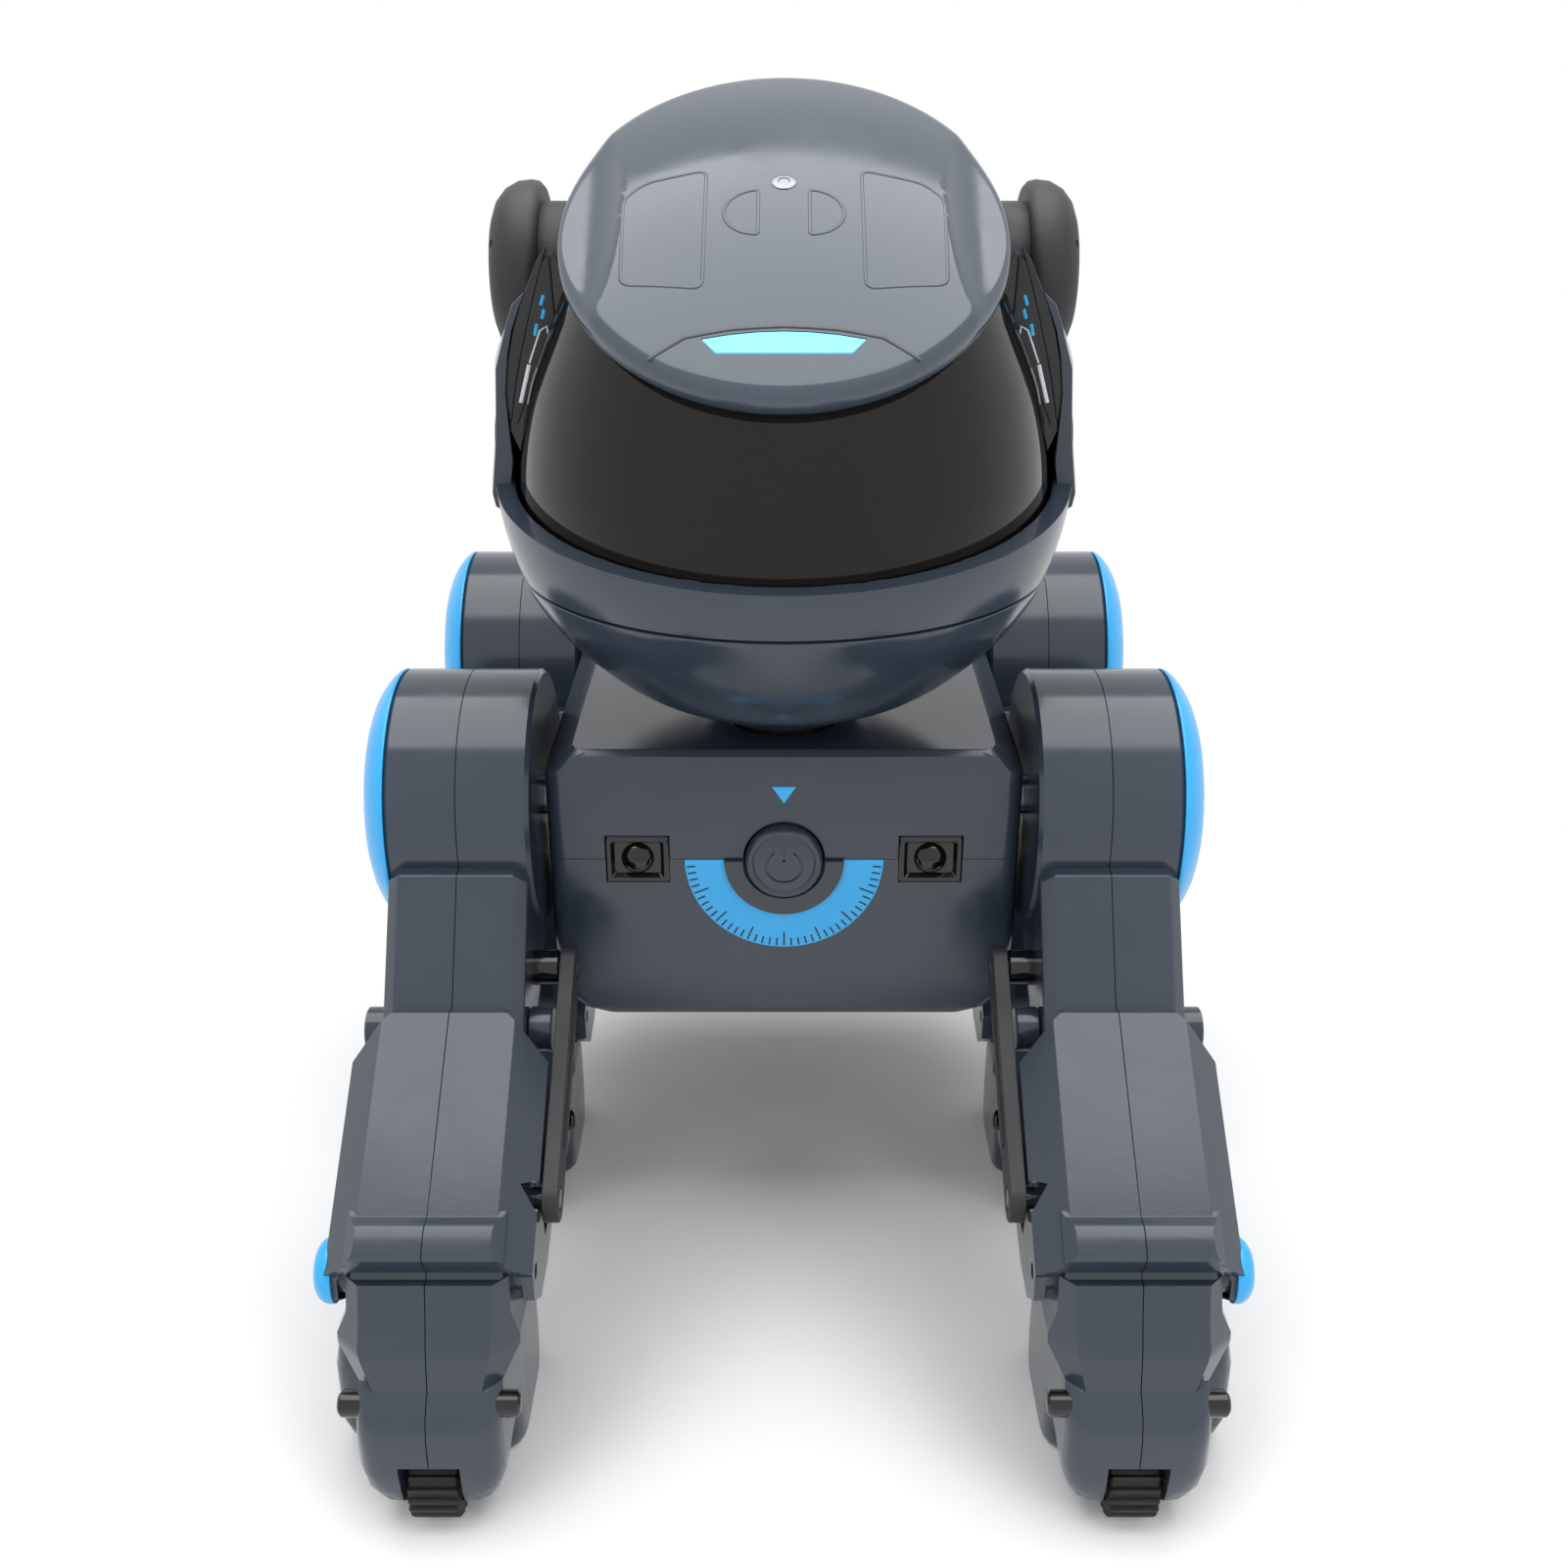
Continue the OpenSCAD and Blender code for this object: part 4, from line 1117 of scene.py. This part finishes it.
        self.keep(joined(toe, [axle, crank, knob]), Fitting("foot", Surface.HOUSING, "housing", ("foot",)))
        low, high = self.places.low("front_left_foot_bumper"), self.places.high("front_left_foot_bumper")
        spot = ((low.y + high.y) / 2, (low.z + high.z) / 2)
        bumper = bar("foot_bumper", spot, (high.z - low.z) / 2, low.x, high.x, 40, 0.7)
        self.keep(bumper, Fitting("foot", Surface.PIANO, "black_trim", ("foot_bumper",), 60))

    def tyre(self) -> None:
        """The ribbed wheel."""
        outline = []
        for i in range(self.rib_count):
            for share, drop in ((-0.28, 0.0), (0.02, 0.0), (0.16, 0.8), (0.58, 0.8)):
                turn = math.tau * (i + share) / self.rib_count
                r = self.wheel_r - drop
                outline.append((self.wheel.x + r * math.cos(turn), self.wheel.y + r * math.sin(turn)))
        low, high = self.places.low("front_left_wheel").x, self.places.high("front_left_wheel").x
        made = slab("wheel_tyre", outline, low, high)
        for x in (low, high):
            bevel_edges(made, on_plane(0, x), 0.35, 1)
        combine(made, [bar("hole", self.wheel, 1.65, low - 1, high + 1, 32),
                       bar("dish", self.wheel, 5.2, low - 1, low + 0.7, 48),
                       bar("dish", self.wheel, 5.2, high - 0.7, high + 1, 48)])
        self.keep(made, Fitting("wheel", Surface.RUBBER, "wheel_rubber", ("wheel",), 24))

    def build(self) -> None:
        """Models one leg, copies it to the four corners and mounts every copy."""
        self.upper()
        self.shin()
        self.link()
        self.foot()
        self.tyre()
        for leg in ("front_left", "front_right", "rear_left", "rear_right"):
            shift = self.places.joint(leg + "_hip").y - self.hip.x
            for piece, fitting in self.made:
                name = f"{leg}_{piece.name}_look"
                made = reflected(piece, name) if leg.endswith("right") else duplicate(piece, name)
                made.data.transform(Matrix.Translation(mm(0, shift, 0)))
                fit(made, replace(fitting, body=f"{leg}_{fitting.body}",
                                  replaces=tuple(f"{leg}_{node}" for node in fitting.replaces)))
        for piece, _ in self.made:
            bpy.data.objects.remove(piece)


# ---------------------------------------------------------------- head


def smooth_curve(points: Sequence[Point], steps: int = 4) -> list[Point]:
    """A smooth curve through points, both ends included."""
    padded = [points[0], *points, points[-1]]
    made: list[Point] = []
    for i in range(1, len(padded) - 2):
        p0, p1, p2, p3 = (Vector(p) for p in padded[i - 1:i + 3])
        for step in range(steps):
            t = step / steps
            spot = 0.5 * (2 * p1 + (p2 - p0) * t + (2 * p0 - 5 * p1 + 4 * p2 - p3) * t ** 2
                          + (3 * p1 - p0 - 3 * p2 + p3) * t ** 3)
            made.append((spot.x, spot.y))
    return [*made, tuple(points[-1])]


def dense(outline: Sequence[Point], step: float, closed: bool = True) -> list[Point]:
    """Adds corners to an outline so that none of its sides is longer than a step."""
    made: list[Point] = []
    for i, corner in enumerate(outline if closed else outline[:-1]):
        here, after = Vector(corner), Vector(outline[(i + 1) % len(outline)])
        parts = max(1, math.ceil((after - here).length / step))
        made += [tuple(here.lerp(after, k / parts)) for k in range(parts)]
    return made if closed else [*made, outline[-1]]


def bead(name: str, path: Sequence[tuple[Vector, Vector]], width: float, raised: float,
         closed: bool = True) -> bpy.types.Object:
    """A thin raised line that follows a path on a surface.

    Args:
        name: The piece's name.
        path: Points in metres, each with the surface's normal.
        width: Its width in millimetres.
        raised: How far it stands proud, in millimetres.
        closed: Whether the path's end meets its start.

    Returns:
        The closed solid.
    """
    sections = []
    count = len(path)
    for i in range(count + 1 if closed else count):
        spot, normal = path[i % count]
        last = path[(i - 1) % count if closed else max(i - 1, 0)][0]
        following = path[(i + 1) % count if closed else min(i + 1, count - 1)][0]
        side = (following - last).normalized().cross(normal)
        sections.append([spot + (side * across * width / 2 + normal * out * raised) * MM for across, out in (
            (-1, -1), (-0.9, 0.2), (-0.45, 1), (0.45, 1), (0.9, 0.2), (1, -1))])
    return lofted(name, sections)


@dataclass
class Head:
    """The head: bowl, band, visor, crown, side panels, ears and what they carry."""

    places: Places
    outline: tuple[Point, ...] = (
        (-57, 0.31), (-51, 0.56), (-41, 0.77), (-31, 0.90), (-21, 0.965), (-11, 0.995), (0, 1.0),
        (11, 0.95), (22, 0.84), (33, 0.74), (44, 0.67), (56, 0.61))
    visor_outline: tuple[Point, ...] = (
        (50, 158), (50.6, 163), (51, 173), (48.6, 187), (44.6, 198), (40.4, 208))
    radius: float = 56.0
    lip_front: float = 162.3
    lip_rise: float = 9.0
    lip_w: float = 3.6
    crown_slope: float = 29.5
    crown_y: float = -3.5
    crown_z: float = 213.5
    crown_half: Point = (41.0, 47.0)
    rim: float = 5.0
    dome: float = 7.0
    scoop_r: float = 14.5
    neck_r: float = 9.0
    rear_cut: float = 13.5
    visor_back: float = -9.0
    facet_y: float = -6.0

    def __post_init__(self) -> None:
        """Takes the neck's axis and the main heights from the frame."""
        self.neck = self.places.joint("head_yaw")
        self.bowl_z = self.places.low("head_bowl").z
        self.band_z = self.places.high("head_bowl").z
        self.middle = self.places.high("body_upper_shell").z + 61
        slope = math.radians(self.crown_slope)
        self.along = Vector((0, math.cos(slope), math.sin(slope)))
        self.up = Vector((0, -math.sin(slope), math.cos(slope)))

    def curve(self, z0: float, z1: float, inset: float = 0.0) -> list[Point]:
        """The head's profile between two heights as (radius, height) points."""
        points = [(share * self.radius, self.middle + h) for h, share in self.outline]
        full = smooth_curve(points, 6)
        made = [(r - inset, z) for r, z in full if z0 < z < z1]
        for z in (z0, z1):
            r = full[0][0]
            for a, b in zip(full, full[1:]):
                if a[1] <= z <= b[1]:
                    r = a[0] + (b[0] - a[0]) * (z - a[1]) / (b[1] - a[1])
                    break
            made.append((r - inset, z))
        return sorted(made, key=lambda p: p[1])

    def spun(self, name: str, profile: Sequence[Point], steps: int = 160) -> bpy.types.Object:
        """Turns a profile of (radius, height) points about the neck's axis."""
        return turned(name, profile, mm(self.neck.x, self.neck.y, 0), Spin.UP, steps)

    def tube(self, name: str, z0: float, z1: float, outer: float, wall: float) -> bpy.types.Object:
        """A wall in the head's shape between two heights."""
        outside = self.curve(z0, z1, outer)
        return self.spun(name, outside + [(r - wall, z) for r, z in reversed(outside)])

    def bowl(self) -> None:
        """The bowl under the seam, with a black ring in the gap under the band that paints the shade there.
        """
        outside = [(15, self.bowl_z), *self.curve(self.bowl_z + 2, self.band_z - 0.25)]
        top = outside[-1][0]
        profile = [(0, self.bowl_z), *outside, (top - 0.5, self.band_z), (0, self.band_z)]
        made = self.spun("bowl_shell", profile)
        soften(made, 0.25, 2, 40)
        fit(made, Fitting("head", Surface.HOUSING, "housing", ("head_bowl",), 40))
        # painted shade: this black ring fills the seam between bowl and band, where there is only shaded
        # housing
        seam_shade = self.spun("band_seam_shade", [(top - 4, self.band_z - 1), (top - 0.9, self.band_z - 1),
                                           (top - 0.9, self.band_z + 2), (top - 4, self.band_z + 2)])
        fit(seam_shade, Fitting("head", Surface.MATTE, "black_trim"))

    def lip_normal(self) -> Vector:
        """The upward normal of the band's sloping rim."""
        rise = math.radians(self.lip_rise)
        return Vector((0, -math.sin(rise), math.cos(rise)))

    def band(self) -> None:
        """The band round the face, cut by a sloping plane that leaves a broad rim."""
        made = self.tube("face_band", self.band_z + 0.45, self.middle + 12, 0.2, self.lip_w)
        spot = mm(0, self.neck.y - self.radius, self.lip_front)
        normal = self.lip_normal()
        trim(made, spot, normal)
        trim(made, mm(0, self.rear_cut - 0.4, 0), Vector((0, 1, 0)))
        bevel_edges(made, lambda a, b: all(abs((v - spot).dot(normal)) < 0.02 * MM for v in (a, b)), 0.45, 3)
        soften(made, 0.2, 2, 50)
        fit(made, Fitting("head", Surface.HOUSING, "housing", ("visor_band",), 36))

    def visor(self) -> None:
        """The smoked visor, which leans in towards the crown."""
        outside = [(r, z) for r, z in smooth_curve(self.visor_outline, 6)]
        made = self.spun("face_visor", outside + [(r - 2, z) for r, z in reversed(outside)], 192)
        trim(made, mm(0, self.visor_back, 0), Vector((0, 1, 0)))
        self.under_crown(made)
        fit(made, Fitting("head", Surface.SMOKE, "smoked_visor", ("visor",), 40))

    def under_crown(self, piece: bpy.types.Object, lift: float = 0.6) -> bpy.types.Object:
        """Cuts a piece off just inside the crown's underside."""
        return trim(piece, mm(0, self.crown_y, self.crown_z) + self.up * lift * MM, self.up)

    def rear(self) -> None:
        """The rear shell."""
        made = self.tube("rear_shell", self.band_z + 0.45, self.middle + 55, 0, 2.4)
        trim(made, mm(0, self.rear_cut, 0), Vector((0, 1, 0)), away=False)
        self.under_crown(made)
        edge = on_plane(1, self.rear_cut)
        bevel_edges(made, edge, 0.7, 2)
        fit(made, Fitting("head", Surface.HOUSING, "housing", ("head_rear_shell",), 36))

    def side_panels(self) -> None:
        """The black wall between the visor and the rear shell."""
        made = self.tube("cheek_panels", self.middle - 20, self.middle + 45, 1.0, 2.4)
        trim(made, mm(0, self.rear_cut, 0), Vector((0, 1, 0)))
        trim(made, mm(0, self.facet_y + 0.8, 0), Vector((0, 1, 0)), away=False)
        self.under_crown(made)
        trim(made, mm(0, self.neck.y - self.radius, self.lip_front - 3), self.lip_normal(), away=False)
        fit(made, Fitting("head", Surface.PIANO, "black_trim", ("side_panels",), 40))

    def facet(self, name: str, outline: Sequence[Point], front: float, back: float,
              spread: float = 0.0) -> bpy.types.Object:
        """A pair of cheek pieces with outlines given as (across, up).

        Args:
            name: The piece's name.
            outline: The left one's outline in millimetres.
            front: Where its face is.
            back: Where it ends.
            spread: How far its outer side leans out towards the back.

        Returns:
            Both pieces in one object.
        """
        middle = sum(x for x, _ in outline) / len(outline)
        sections = [[mm(x + (lean if x > middle else 0), y, z) for x, z in outline]
                    for y, lean in ((front, 0), ((front + back) / 2, spread), (back, spread * 0.7))]
        made = lofted(name, sections)
        soften(made, 0.3, 2, 30)
        return joined(made, [reflected(made, name + "_right")])

    def cheeks(self) -> None:
        """The facets beside the visor: an outer strip, two dark panels and their printed marks."""
        strip = [(47.3, 205.6), (49.8, 203.3), (51.3, 199.2), (52.8, 194.2), (53.6, 191.5), (54.0, 184.9),
                 (54.3, 180.3), (54.8, 175.6), (55.8, 168.1), (55.3, 165.5), (53.5, 164.6), (52.1, 169.4),
                 (51.4, 174.4), (51.7, 180.0), (52.0, 187.0), (51.2, 193.9), (50.1, 198.6), (48.5, 202.7)]
        outer = [(43.0, 213.3), (44.7, 211.3), (48.0, 204.1), (49.9, 198.6), (51.0, 193.9), (51.8, 187.4),
                 (51.6, 182.4), (51.3, 181.8), (50.2, 187.9), (48.8, 193.9), (46.9, 200.9), (45.0, 207.3)]
        inner = [(42.5, 211.9), (44.6, 205.6), (46.4, 199.4), (48.4, 192.2), (49.7, 186.4), (50.6, 181.8),
                 (50.3, 180.9), (47.5, 187.3), (44.8, 192.7), (42.6, 198.6), (41.9, 200.6), (42.1, 202.7)]
        backing = [(42.0, 212.5), (44.0, 211.0), (48.0, 203.0), (51.4, 191.0), (51.8, 180.0), (50.0, 176.0),
                   (43.5, 180.0), (38.0, 196.0), (36.0, 206.0)]
        y = self.facet_y
        for name, outline, front, back, spread, surface, slot in (
            ("cheek_strips", strip, y - 0.2, self.rear_cut - 0.3, 1.6, Surface.HOUSING, "housing"),
            ("cheek_outer_panels", outer, y, y + 2.0, 0.0, Surface.MATTE, "black_trim"),
            ("cheek_inner_panels", inner, y, y + 2.0, 0.0, Surface.MATTE, "black_trim"),
            ("cheek_backing", backing, y + 0.6, y + 1.8, 0.0, Surface.PIANO, "black_trim"),
        ):
            fit(self.facet(name, outline, front, back, spread), Fitting("head", surface, slot))
        thin = [[(43.4, 197.4), (43.6, 199.4), (44.9, 198.6), (47.2, 192.7)]]
        broad = [[(47.3, 192.4), (47.8, 190.6), (49.3, 185.4)]]
        dots = [[(43.9, 204.9), (44.5, 203.1)], [(43.9, 202.4), (44.4, 200.7)],
                [(45.4, 199.8), (45.9, 197.7)]]
        for name, lines, width, surface in (
            ("cheek_lines", thin, 0.4, Surface.PALE_INK), ("cheek_bars", broad, 0.8, Surface.PALE_INK),
            ("cheek_dots", dots, 0.7, Surface.BLUE_INK),
        ):
            paths = [[(mm(side * x, y, z), Vector((0, -1, 0))) for x, z in line]
                     for side in (-1, 1) for line in lines]
            pieces = [bead(name, path, width, 0.12, False) for path in paths]
            fit(joined(pieces[0], pieces[1:]), Fitting("head", surface, "black_trim"))

    def ears(self) -> None:
        """The round pods on the head's sides, with a sunk face and a small screw hole."""
        low, high = self.places.low("ears"), self.places.high("ears")
        centre = ((low.y + high.y) / 2, (low.z + high.z) / 2)
        r = (high.z - low.z) / 2
        x1 = high.x
        profile = [(0, -26), (r - 4, -26), (r - 4, -9.8), (r - 1.2, -9.8), (r - 0.3, -9.0), (r, -7.6),
                   (r - 0.3, -5.0), (r - 1.6, -2.6), (r - 3.6, -0.9), (r - 6.0, 0), (r - 7.0, 0),
                   (r - 7.8, -0.3), (r - 8.2, -1.4), (0, -1.4)]
        pod = turned("ear_pods", profile, mm(x1, *centre), Spin.SIDEWAYS, 96)
        combine(pod, [bar("screw_hole", (centre[0] - 11.5, centre[1] + 6.5), 1.0, x1 - 6, x1 + 1, 24)])
        soften(pod, 0.3, 2, 50)
        twin = reflected(pod, "ear_pod_right")
        fit(joined(pod, [twin]), Fitting("head", Surface.MATTE, "matte_black", ("ears",), 40))

    def crown_height(self, u: float, v: float) -> float:
        """The crown's height over its underside: a dome with a scoop along each side."""
        a, b = self.crown_half
        level = self.rim + self.dome * (1 - (u / a) ** 2 - (v / b) ** 2)
        reach = a - 1 - abs(u)
        if abs(reach) < self.scoop_r:
            level = min(level, self.scoop_r + 3.4 - math.sqrt(self.scoop_r ** 2 - reach ** 2))
        return level

    def crown_at(self, u: float, v: float, w: float) -> Vector:
        """A point in the crown's tilted frame, in metres."""
        return (Vector((u, self.crown_y, self.crown_z)) + self.along * v + self.up * w) * MM

    def on_crown(self, u: float, v: float, lift: float = 0.0) -> tuple[Vector, Vector]:
        """A point on the crown's top with its normal."""
        here = self.crown_at(u, v, self.crown_height(u, v) + lift)
        right = self.crown_at(u + 0.2, v, self.crown_height(u + 0.2, v) + lift)
        back = self.crown_at(u, v + 0.2, self.crown_height(u, v + 0.2) + lift)
        return here, (right - here).cross(back - here).normalized()

    def crown(self) -> None:
        """The crown: an oval shield with a rim, scooped sides and a shallow dome."""
        a, b = self.crown_half
        steps = 192

        def oval(share: float, level: Callable[[float, float], float]) -> list[Vector]:
            made = []
            for i in range(steps):
                turn = math.tau * i / steps
                u, v = a * share * math.cos(turn), b * share * math.sin(turn)
                made.append(self.crown_at(u, v, level(u, v)))
            return made

        sections = [oval(share, lambda u, v, w=w: w) for share, w in
                    ((0.93, 0.9), (0.952, 0.25), (0.972, 0.0), (0.99, 0.35), (0.997, 1.0))]
        for share, drop in ((1.0, 2.2), (0.997, 1.2), (0.988, 0.5), (0.974, 0.12), (0.958, 0.0)):
            sections.append(oval(share, lambda u, v, drop=drop: self.crown_height(u, v) - drop))
        rings = 46
        for i in range(1, rings):
            sections.append(oval(0.958 * (1 - i / rings) + 0.002, self.crown_height))
        made = lofted("crown_shield", sections)
        sunk = self.crown_prism("pocket", self.light_outline(0.25), -0.5, 3)
        combine(made, [sunk])
        fit(made, Fitting("head", Surface.CROWN, "crown_housing", ("crown",), 30))
        light = self.crown_prism("brow_light", self.light_outline(0), -0.8, 0.05)
        fit(light, Fitting("head", Surface.LIGHT, "light_strip", ("crown_light",), 30))
        lines = [bead("pad_outlines", [self.on_crown(u * side, v) for u, v in outline][::side], 0.7, 0.16)
                 for side in (-1, 1) for outline in (self.pad_outline(), self.small_pad_outline())]
        fit(joined(lines[0], lines[1:]), Fitting("head", Surface.CROWN, "crown_housing", ("touch_pads",), 60))
        # the brow line is a groove across the crown, drawn as a raised bead; its darker DARK finish is
        # painted shade for the groove
        path = dense([(-22.6, -38.4), (-19.4, -36.6), (-16.6, -35.0), (-9, -34.1), (0, -33.8), (9, -34.1),
                      (16.6, -35.0), (19.4, -36.6), (22.6, -38.4)], 1.5, False)
        line = bead("brow_line", [self.on_crown(u, v) for u, v in path], 0.8, 0.18, False)
        fit(line, Fitting("head", Surface.DARK, "crown_housing", (), 60))
        spot, normal = self.on_crown(0, 1.2)
        head = [(0, 0.1), (0.9, 0.1), (1.1, 0.3), (1.9, 0.3), (2.2, 0.1), (2.2, -1), (0, -1)]
        screw = turned("crown_screw", head, spot, Spin.UP, 40)
        tilt = Vector((0, 0, 1)).rotation_difference(normal).to_matrix().to_4x4()
        screw.data.transform(Matrix.Translation(spot) @ tilt @ Matrix.Translation(-spot))
        fit(screw, Fitting("head", Surface.STEEL, "steel"))

    def crown_prism(self, name: str, outline: Sequence[Point], sink: float, proud: float) -> bpy.types.Object:
        """A solid over an outline on the crown, from a depth under its surface to a height over it."""
        low = [self.crown_at(u, v, self.crown_height(u, v) + sink) for u, v in outline]
        high = [self.crown_at(u, v, self.crown_height(u, v) + proud) for u, v in outline]
        return lofted(name, [low, high])

    def light_outline(self, grow: float) -> list[Point]:
        """The brow light's outline, slightly curved."""
        front = [(u, -39.0 - grow + 0.004 * u * u) for u in (-11.3, -7.5, -3.8, 0, 3.8, 7.5, 11.3)]
        back = [(u, -34.9 + grow - 0.0045 * u * u) for u in (13.6, 9, 4.5, 0, -4.5, -9, -13.6)]
        return front + [(u + math.copysign(grow, u), v) for u, v in back]

    def pad_outline(self) -> list[Point]:
        """A large touch pad's outline."""
        corners = [(13.8, -25), (28, -21.5), (28.6, 1), (25, 4.6), (13.8, 6)]
        return dense(rounded_profile(corners, 2.0, 4), 1.2)

    def small_pad_outline(self) -> list[Point]:
        """A small D-shaped touch pad's outline."""
        return dense(rounded_profile([(4.5, -13), *arc((4.5, -7), 6.0, -80, 80, 14), (4.5, -1)], 0.5, 2), 1.2)

    def neck_column(self) -> None:
        """The matte black column that carries the head; its black paints the shade under the bowl."""
        low, high = self.places.low("neck_post").z, self.places.high("neck_post").z
        r, foot = self.neck_r, self.bowl_z + 2
        profile = [(0, low), (r, low), (r, foot), (r - 2, foot + 2), (r - 2, high), (0, high)]
        made = self.spun("neck_column", profile, 64)
        soften(made, 0.3, 2, 40)
        # painted shade: the matte black stands for the shade under the head's bowl
        fit(made, Fitting("head", Surface.MATTE, "dark_trim", ("neck_post",), 40))

    def build(self) -> None:
        """Models, dresses and mounts the head."""
        self.neck_column()
        self.bowl()
        self.band()
        self.visor()
        self.rear()
        self.side_panels()
        self.cheeks()
        self.ears()
        self.crown()
        for node, surface, slot in [
            ("face_display", Surface.PIANO, "black_trim"), ("speaker", Surface.MATTE, "matte_black"),
        ]:
            self.places.dress(node, surface, slot)


# ---------------------------------------------------------------- studio


@dataclass
class Studio:
    """The floor, the lights and the camera."""

    focal: float = 38.2
    pitch: float = 65.8
    back: float = 319.5
    height: float = 248.0
    floor_half: float = 6000.0
    shadow_in: float = 0.14
    shadow_out: float = 0.34

    def seen_directly(self, tree: bpy.types.NodeTree) -> bpy.types.NodeSocket:
        """A socket that is 1 for what the camera, a reflection or a clear piece sees."""
        rays = add_node(tree, "ShaderNodeLightPath").outputs
        first = add_node(tree, "ShaderNodeMath", {"operation": "MAXIMUM"})
        tree.links.new(rays["Is Camera Ray"], first.inputs[0])
        tree.links.new(rays["Is Glossy Ray"], first.inputs[1])
        second = add_node(tree, "ShaderNodeMath", {"operation": "MAXIMUM"})
        tree.links.new(first.outputs[0], second.inputs[0])
        tree.links.new(rays["Is Transmission Ray"], second.inputs[1])
        return second.outputs[0]

    def floor(self) -> None:
        """A plain white floor that keeps the dog's shadow and fades into the surround."""
        bpy.ops.object.select_all(action="DESELECT")
        bpy.ops.mesh.primitive_plane_add(size=2 * self.floor_half * MM, location=(0, 0, 0))
        made = bpy.context.active_object
        made.name = "floor"
        material = bpy.data.materials.new("floor")
        material.use_nodes = True
        tree = material.node_tree
        tree.nodes.clear()
        lit = add_node(tree, "ShaderNodeBsdfDiffuse", {"Color": linear("#f4f4f4")})
        white = add_node(tree, "ShaderNodeEmission", {"Color": (1, 1, 1, 1), "Strength": 1.0})
        place = add_node(tree, "ShaderNodeTexCoord").outputs["Object"]
        far = add_node(tree, "ShaderNodeVectorMath", {"operation": "LENGTH"})
        tree.links.new(place, far.inputs[0])
        fade = add_node(tree, "ShaderNodeMapRange", {
            "From Min": self.shadow_in, "From Max": self.shadow_out, "To Min": 0.0, "To Max": 1.0,
            "interpolation_type": "SMOOTHSTEP"}, {"Value": far.outputs["Value"]})
        share = add_node(tree, "ShaderNodeMath", {"operation": "MULTIPLY"})
        tree.links.new(fade.outputs["Result"], share.inputs[0])
        tree.links.new(self.seen_directly(tree), share.inputs[1])
        mix = add_node(tree, "ShaderNodeMixShader", None, {"Fac": share.outputs[0]})
        tree.links.new(lit.outputs[0], mix.inputs[1])
        tree.links.new(white.outputs[0], mix.inputs[2])
        add_node(tree, "ShaderNodeOutputMaterial", None, {"Surface": mix.outputs[0]})
        made.data.materials.append(material)

    def area(self, name: str, place: Spot, aim: Spot, size: Point, power: float,
             mirrored: bool = True) -> None:
        """Adds a soft rectangular light.

        Args:
            name: The light's name.
            place: Where it hangs, in metres.
            aim: What it points at, in metres.
            size: Its width and height, in metres.
            power: Its power in watts.
            mirrored: Whether glossy surfaces show it.
        """
        bpy.ops.object.light_add(type="AREA", location=place)
        made = bpy.context.active_object
        made.name = name
        made.data.shape = "RECTANGLE"
        made.data.size, made.data.size_y = size
        made.data.energy = power
        made.visible_glossy = mirrored
        made.rotation_euler = (Vector(aim) - Vector(place)).to_track_quat("-Z", "Y").to_euler()

    def world(self) -> None:
        """A white surround that the camera sees as pure white."""
        world = bpy.context.scene.world or bpy.data.worlds.new("studio")
        bpy.context.scene.world = world
        world.use_nodes = True
        tree = world.node_tree
        tree.nodes.clear()
        fill = add_node(tree, "ShaderNodeBackground", {"Color": (1, 1, 1, 1), "Strength": 0.5})
        seen = add_node(tree, "ShaderNodeBackground", {"Color": (1, 1, 1, 1), "Strength": 1.0})
        mix = add_node(tree, "ShaderNodeMixShader", None, {"Fac": self.seen_directly(tree)})
        tree.links.new(fill.outputs[0], mix.inputs[1])
        tree.links.new(seen.outputs[0], mix.inputs[2])
        add_node(tree, "ShaderNodeOutputWorld", None, {"Surface": mix.outputs[0]})

    def camera(self) -> None:
        """The camera in front of the dog, looking down at it."""
        bpy.ops.object.camera_add(location=mm(0, -self.back, self.height),
                                  rotation=(math.radians(self.pitch), 0, 0))
        made = bpy.context.active_object
        made.data.lens = self.focal
        made.data.sensor_width = 36
        made.data.clip_start = 0.01
        bpy.context.scene.camera = made

    def build(self) -> None:
        """Sets the scene up."""
        bpy.context.scene.view_settings.view_transform = "Standard"
        self.floor()
        self.world()
        self.area("overhead", (0.0, 0.05, 0.95), (0, 0, 0.1), (1.1, 0.9), 9.0)
        self.area("front_left", (0.75, -0.85, 0.75), (0, 0, 0.12), (0.6, 0.8), 4.5, False)
        self.area("front_right", (-0.75, -0.85, 0.7), (0, 0, 0.12), (0.6, 0.8), 4.0, False)
        self.camera()


def main() -> None:
    """Builds the whole scene."""
    logging.basicConfig(level=logging.INFO, format="%(name)s: %(message)s")
    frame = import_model()
    places = Places(frame)
    Body(places).build()
    Leg(places).build()
    Head(places).build()
    Studio().build()


if __name__ == "__main__":
    main()
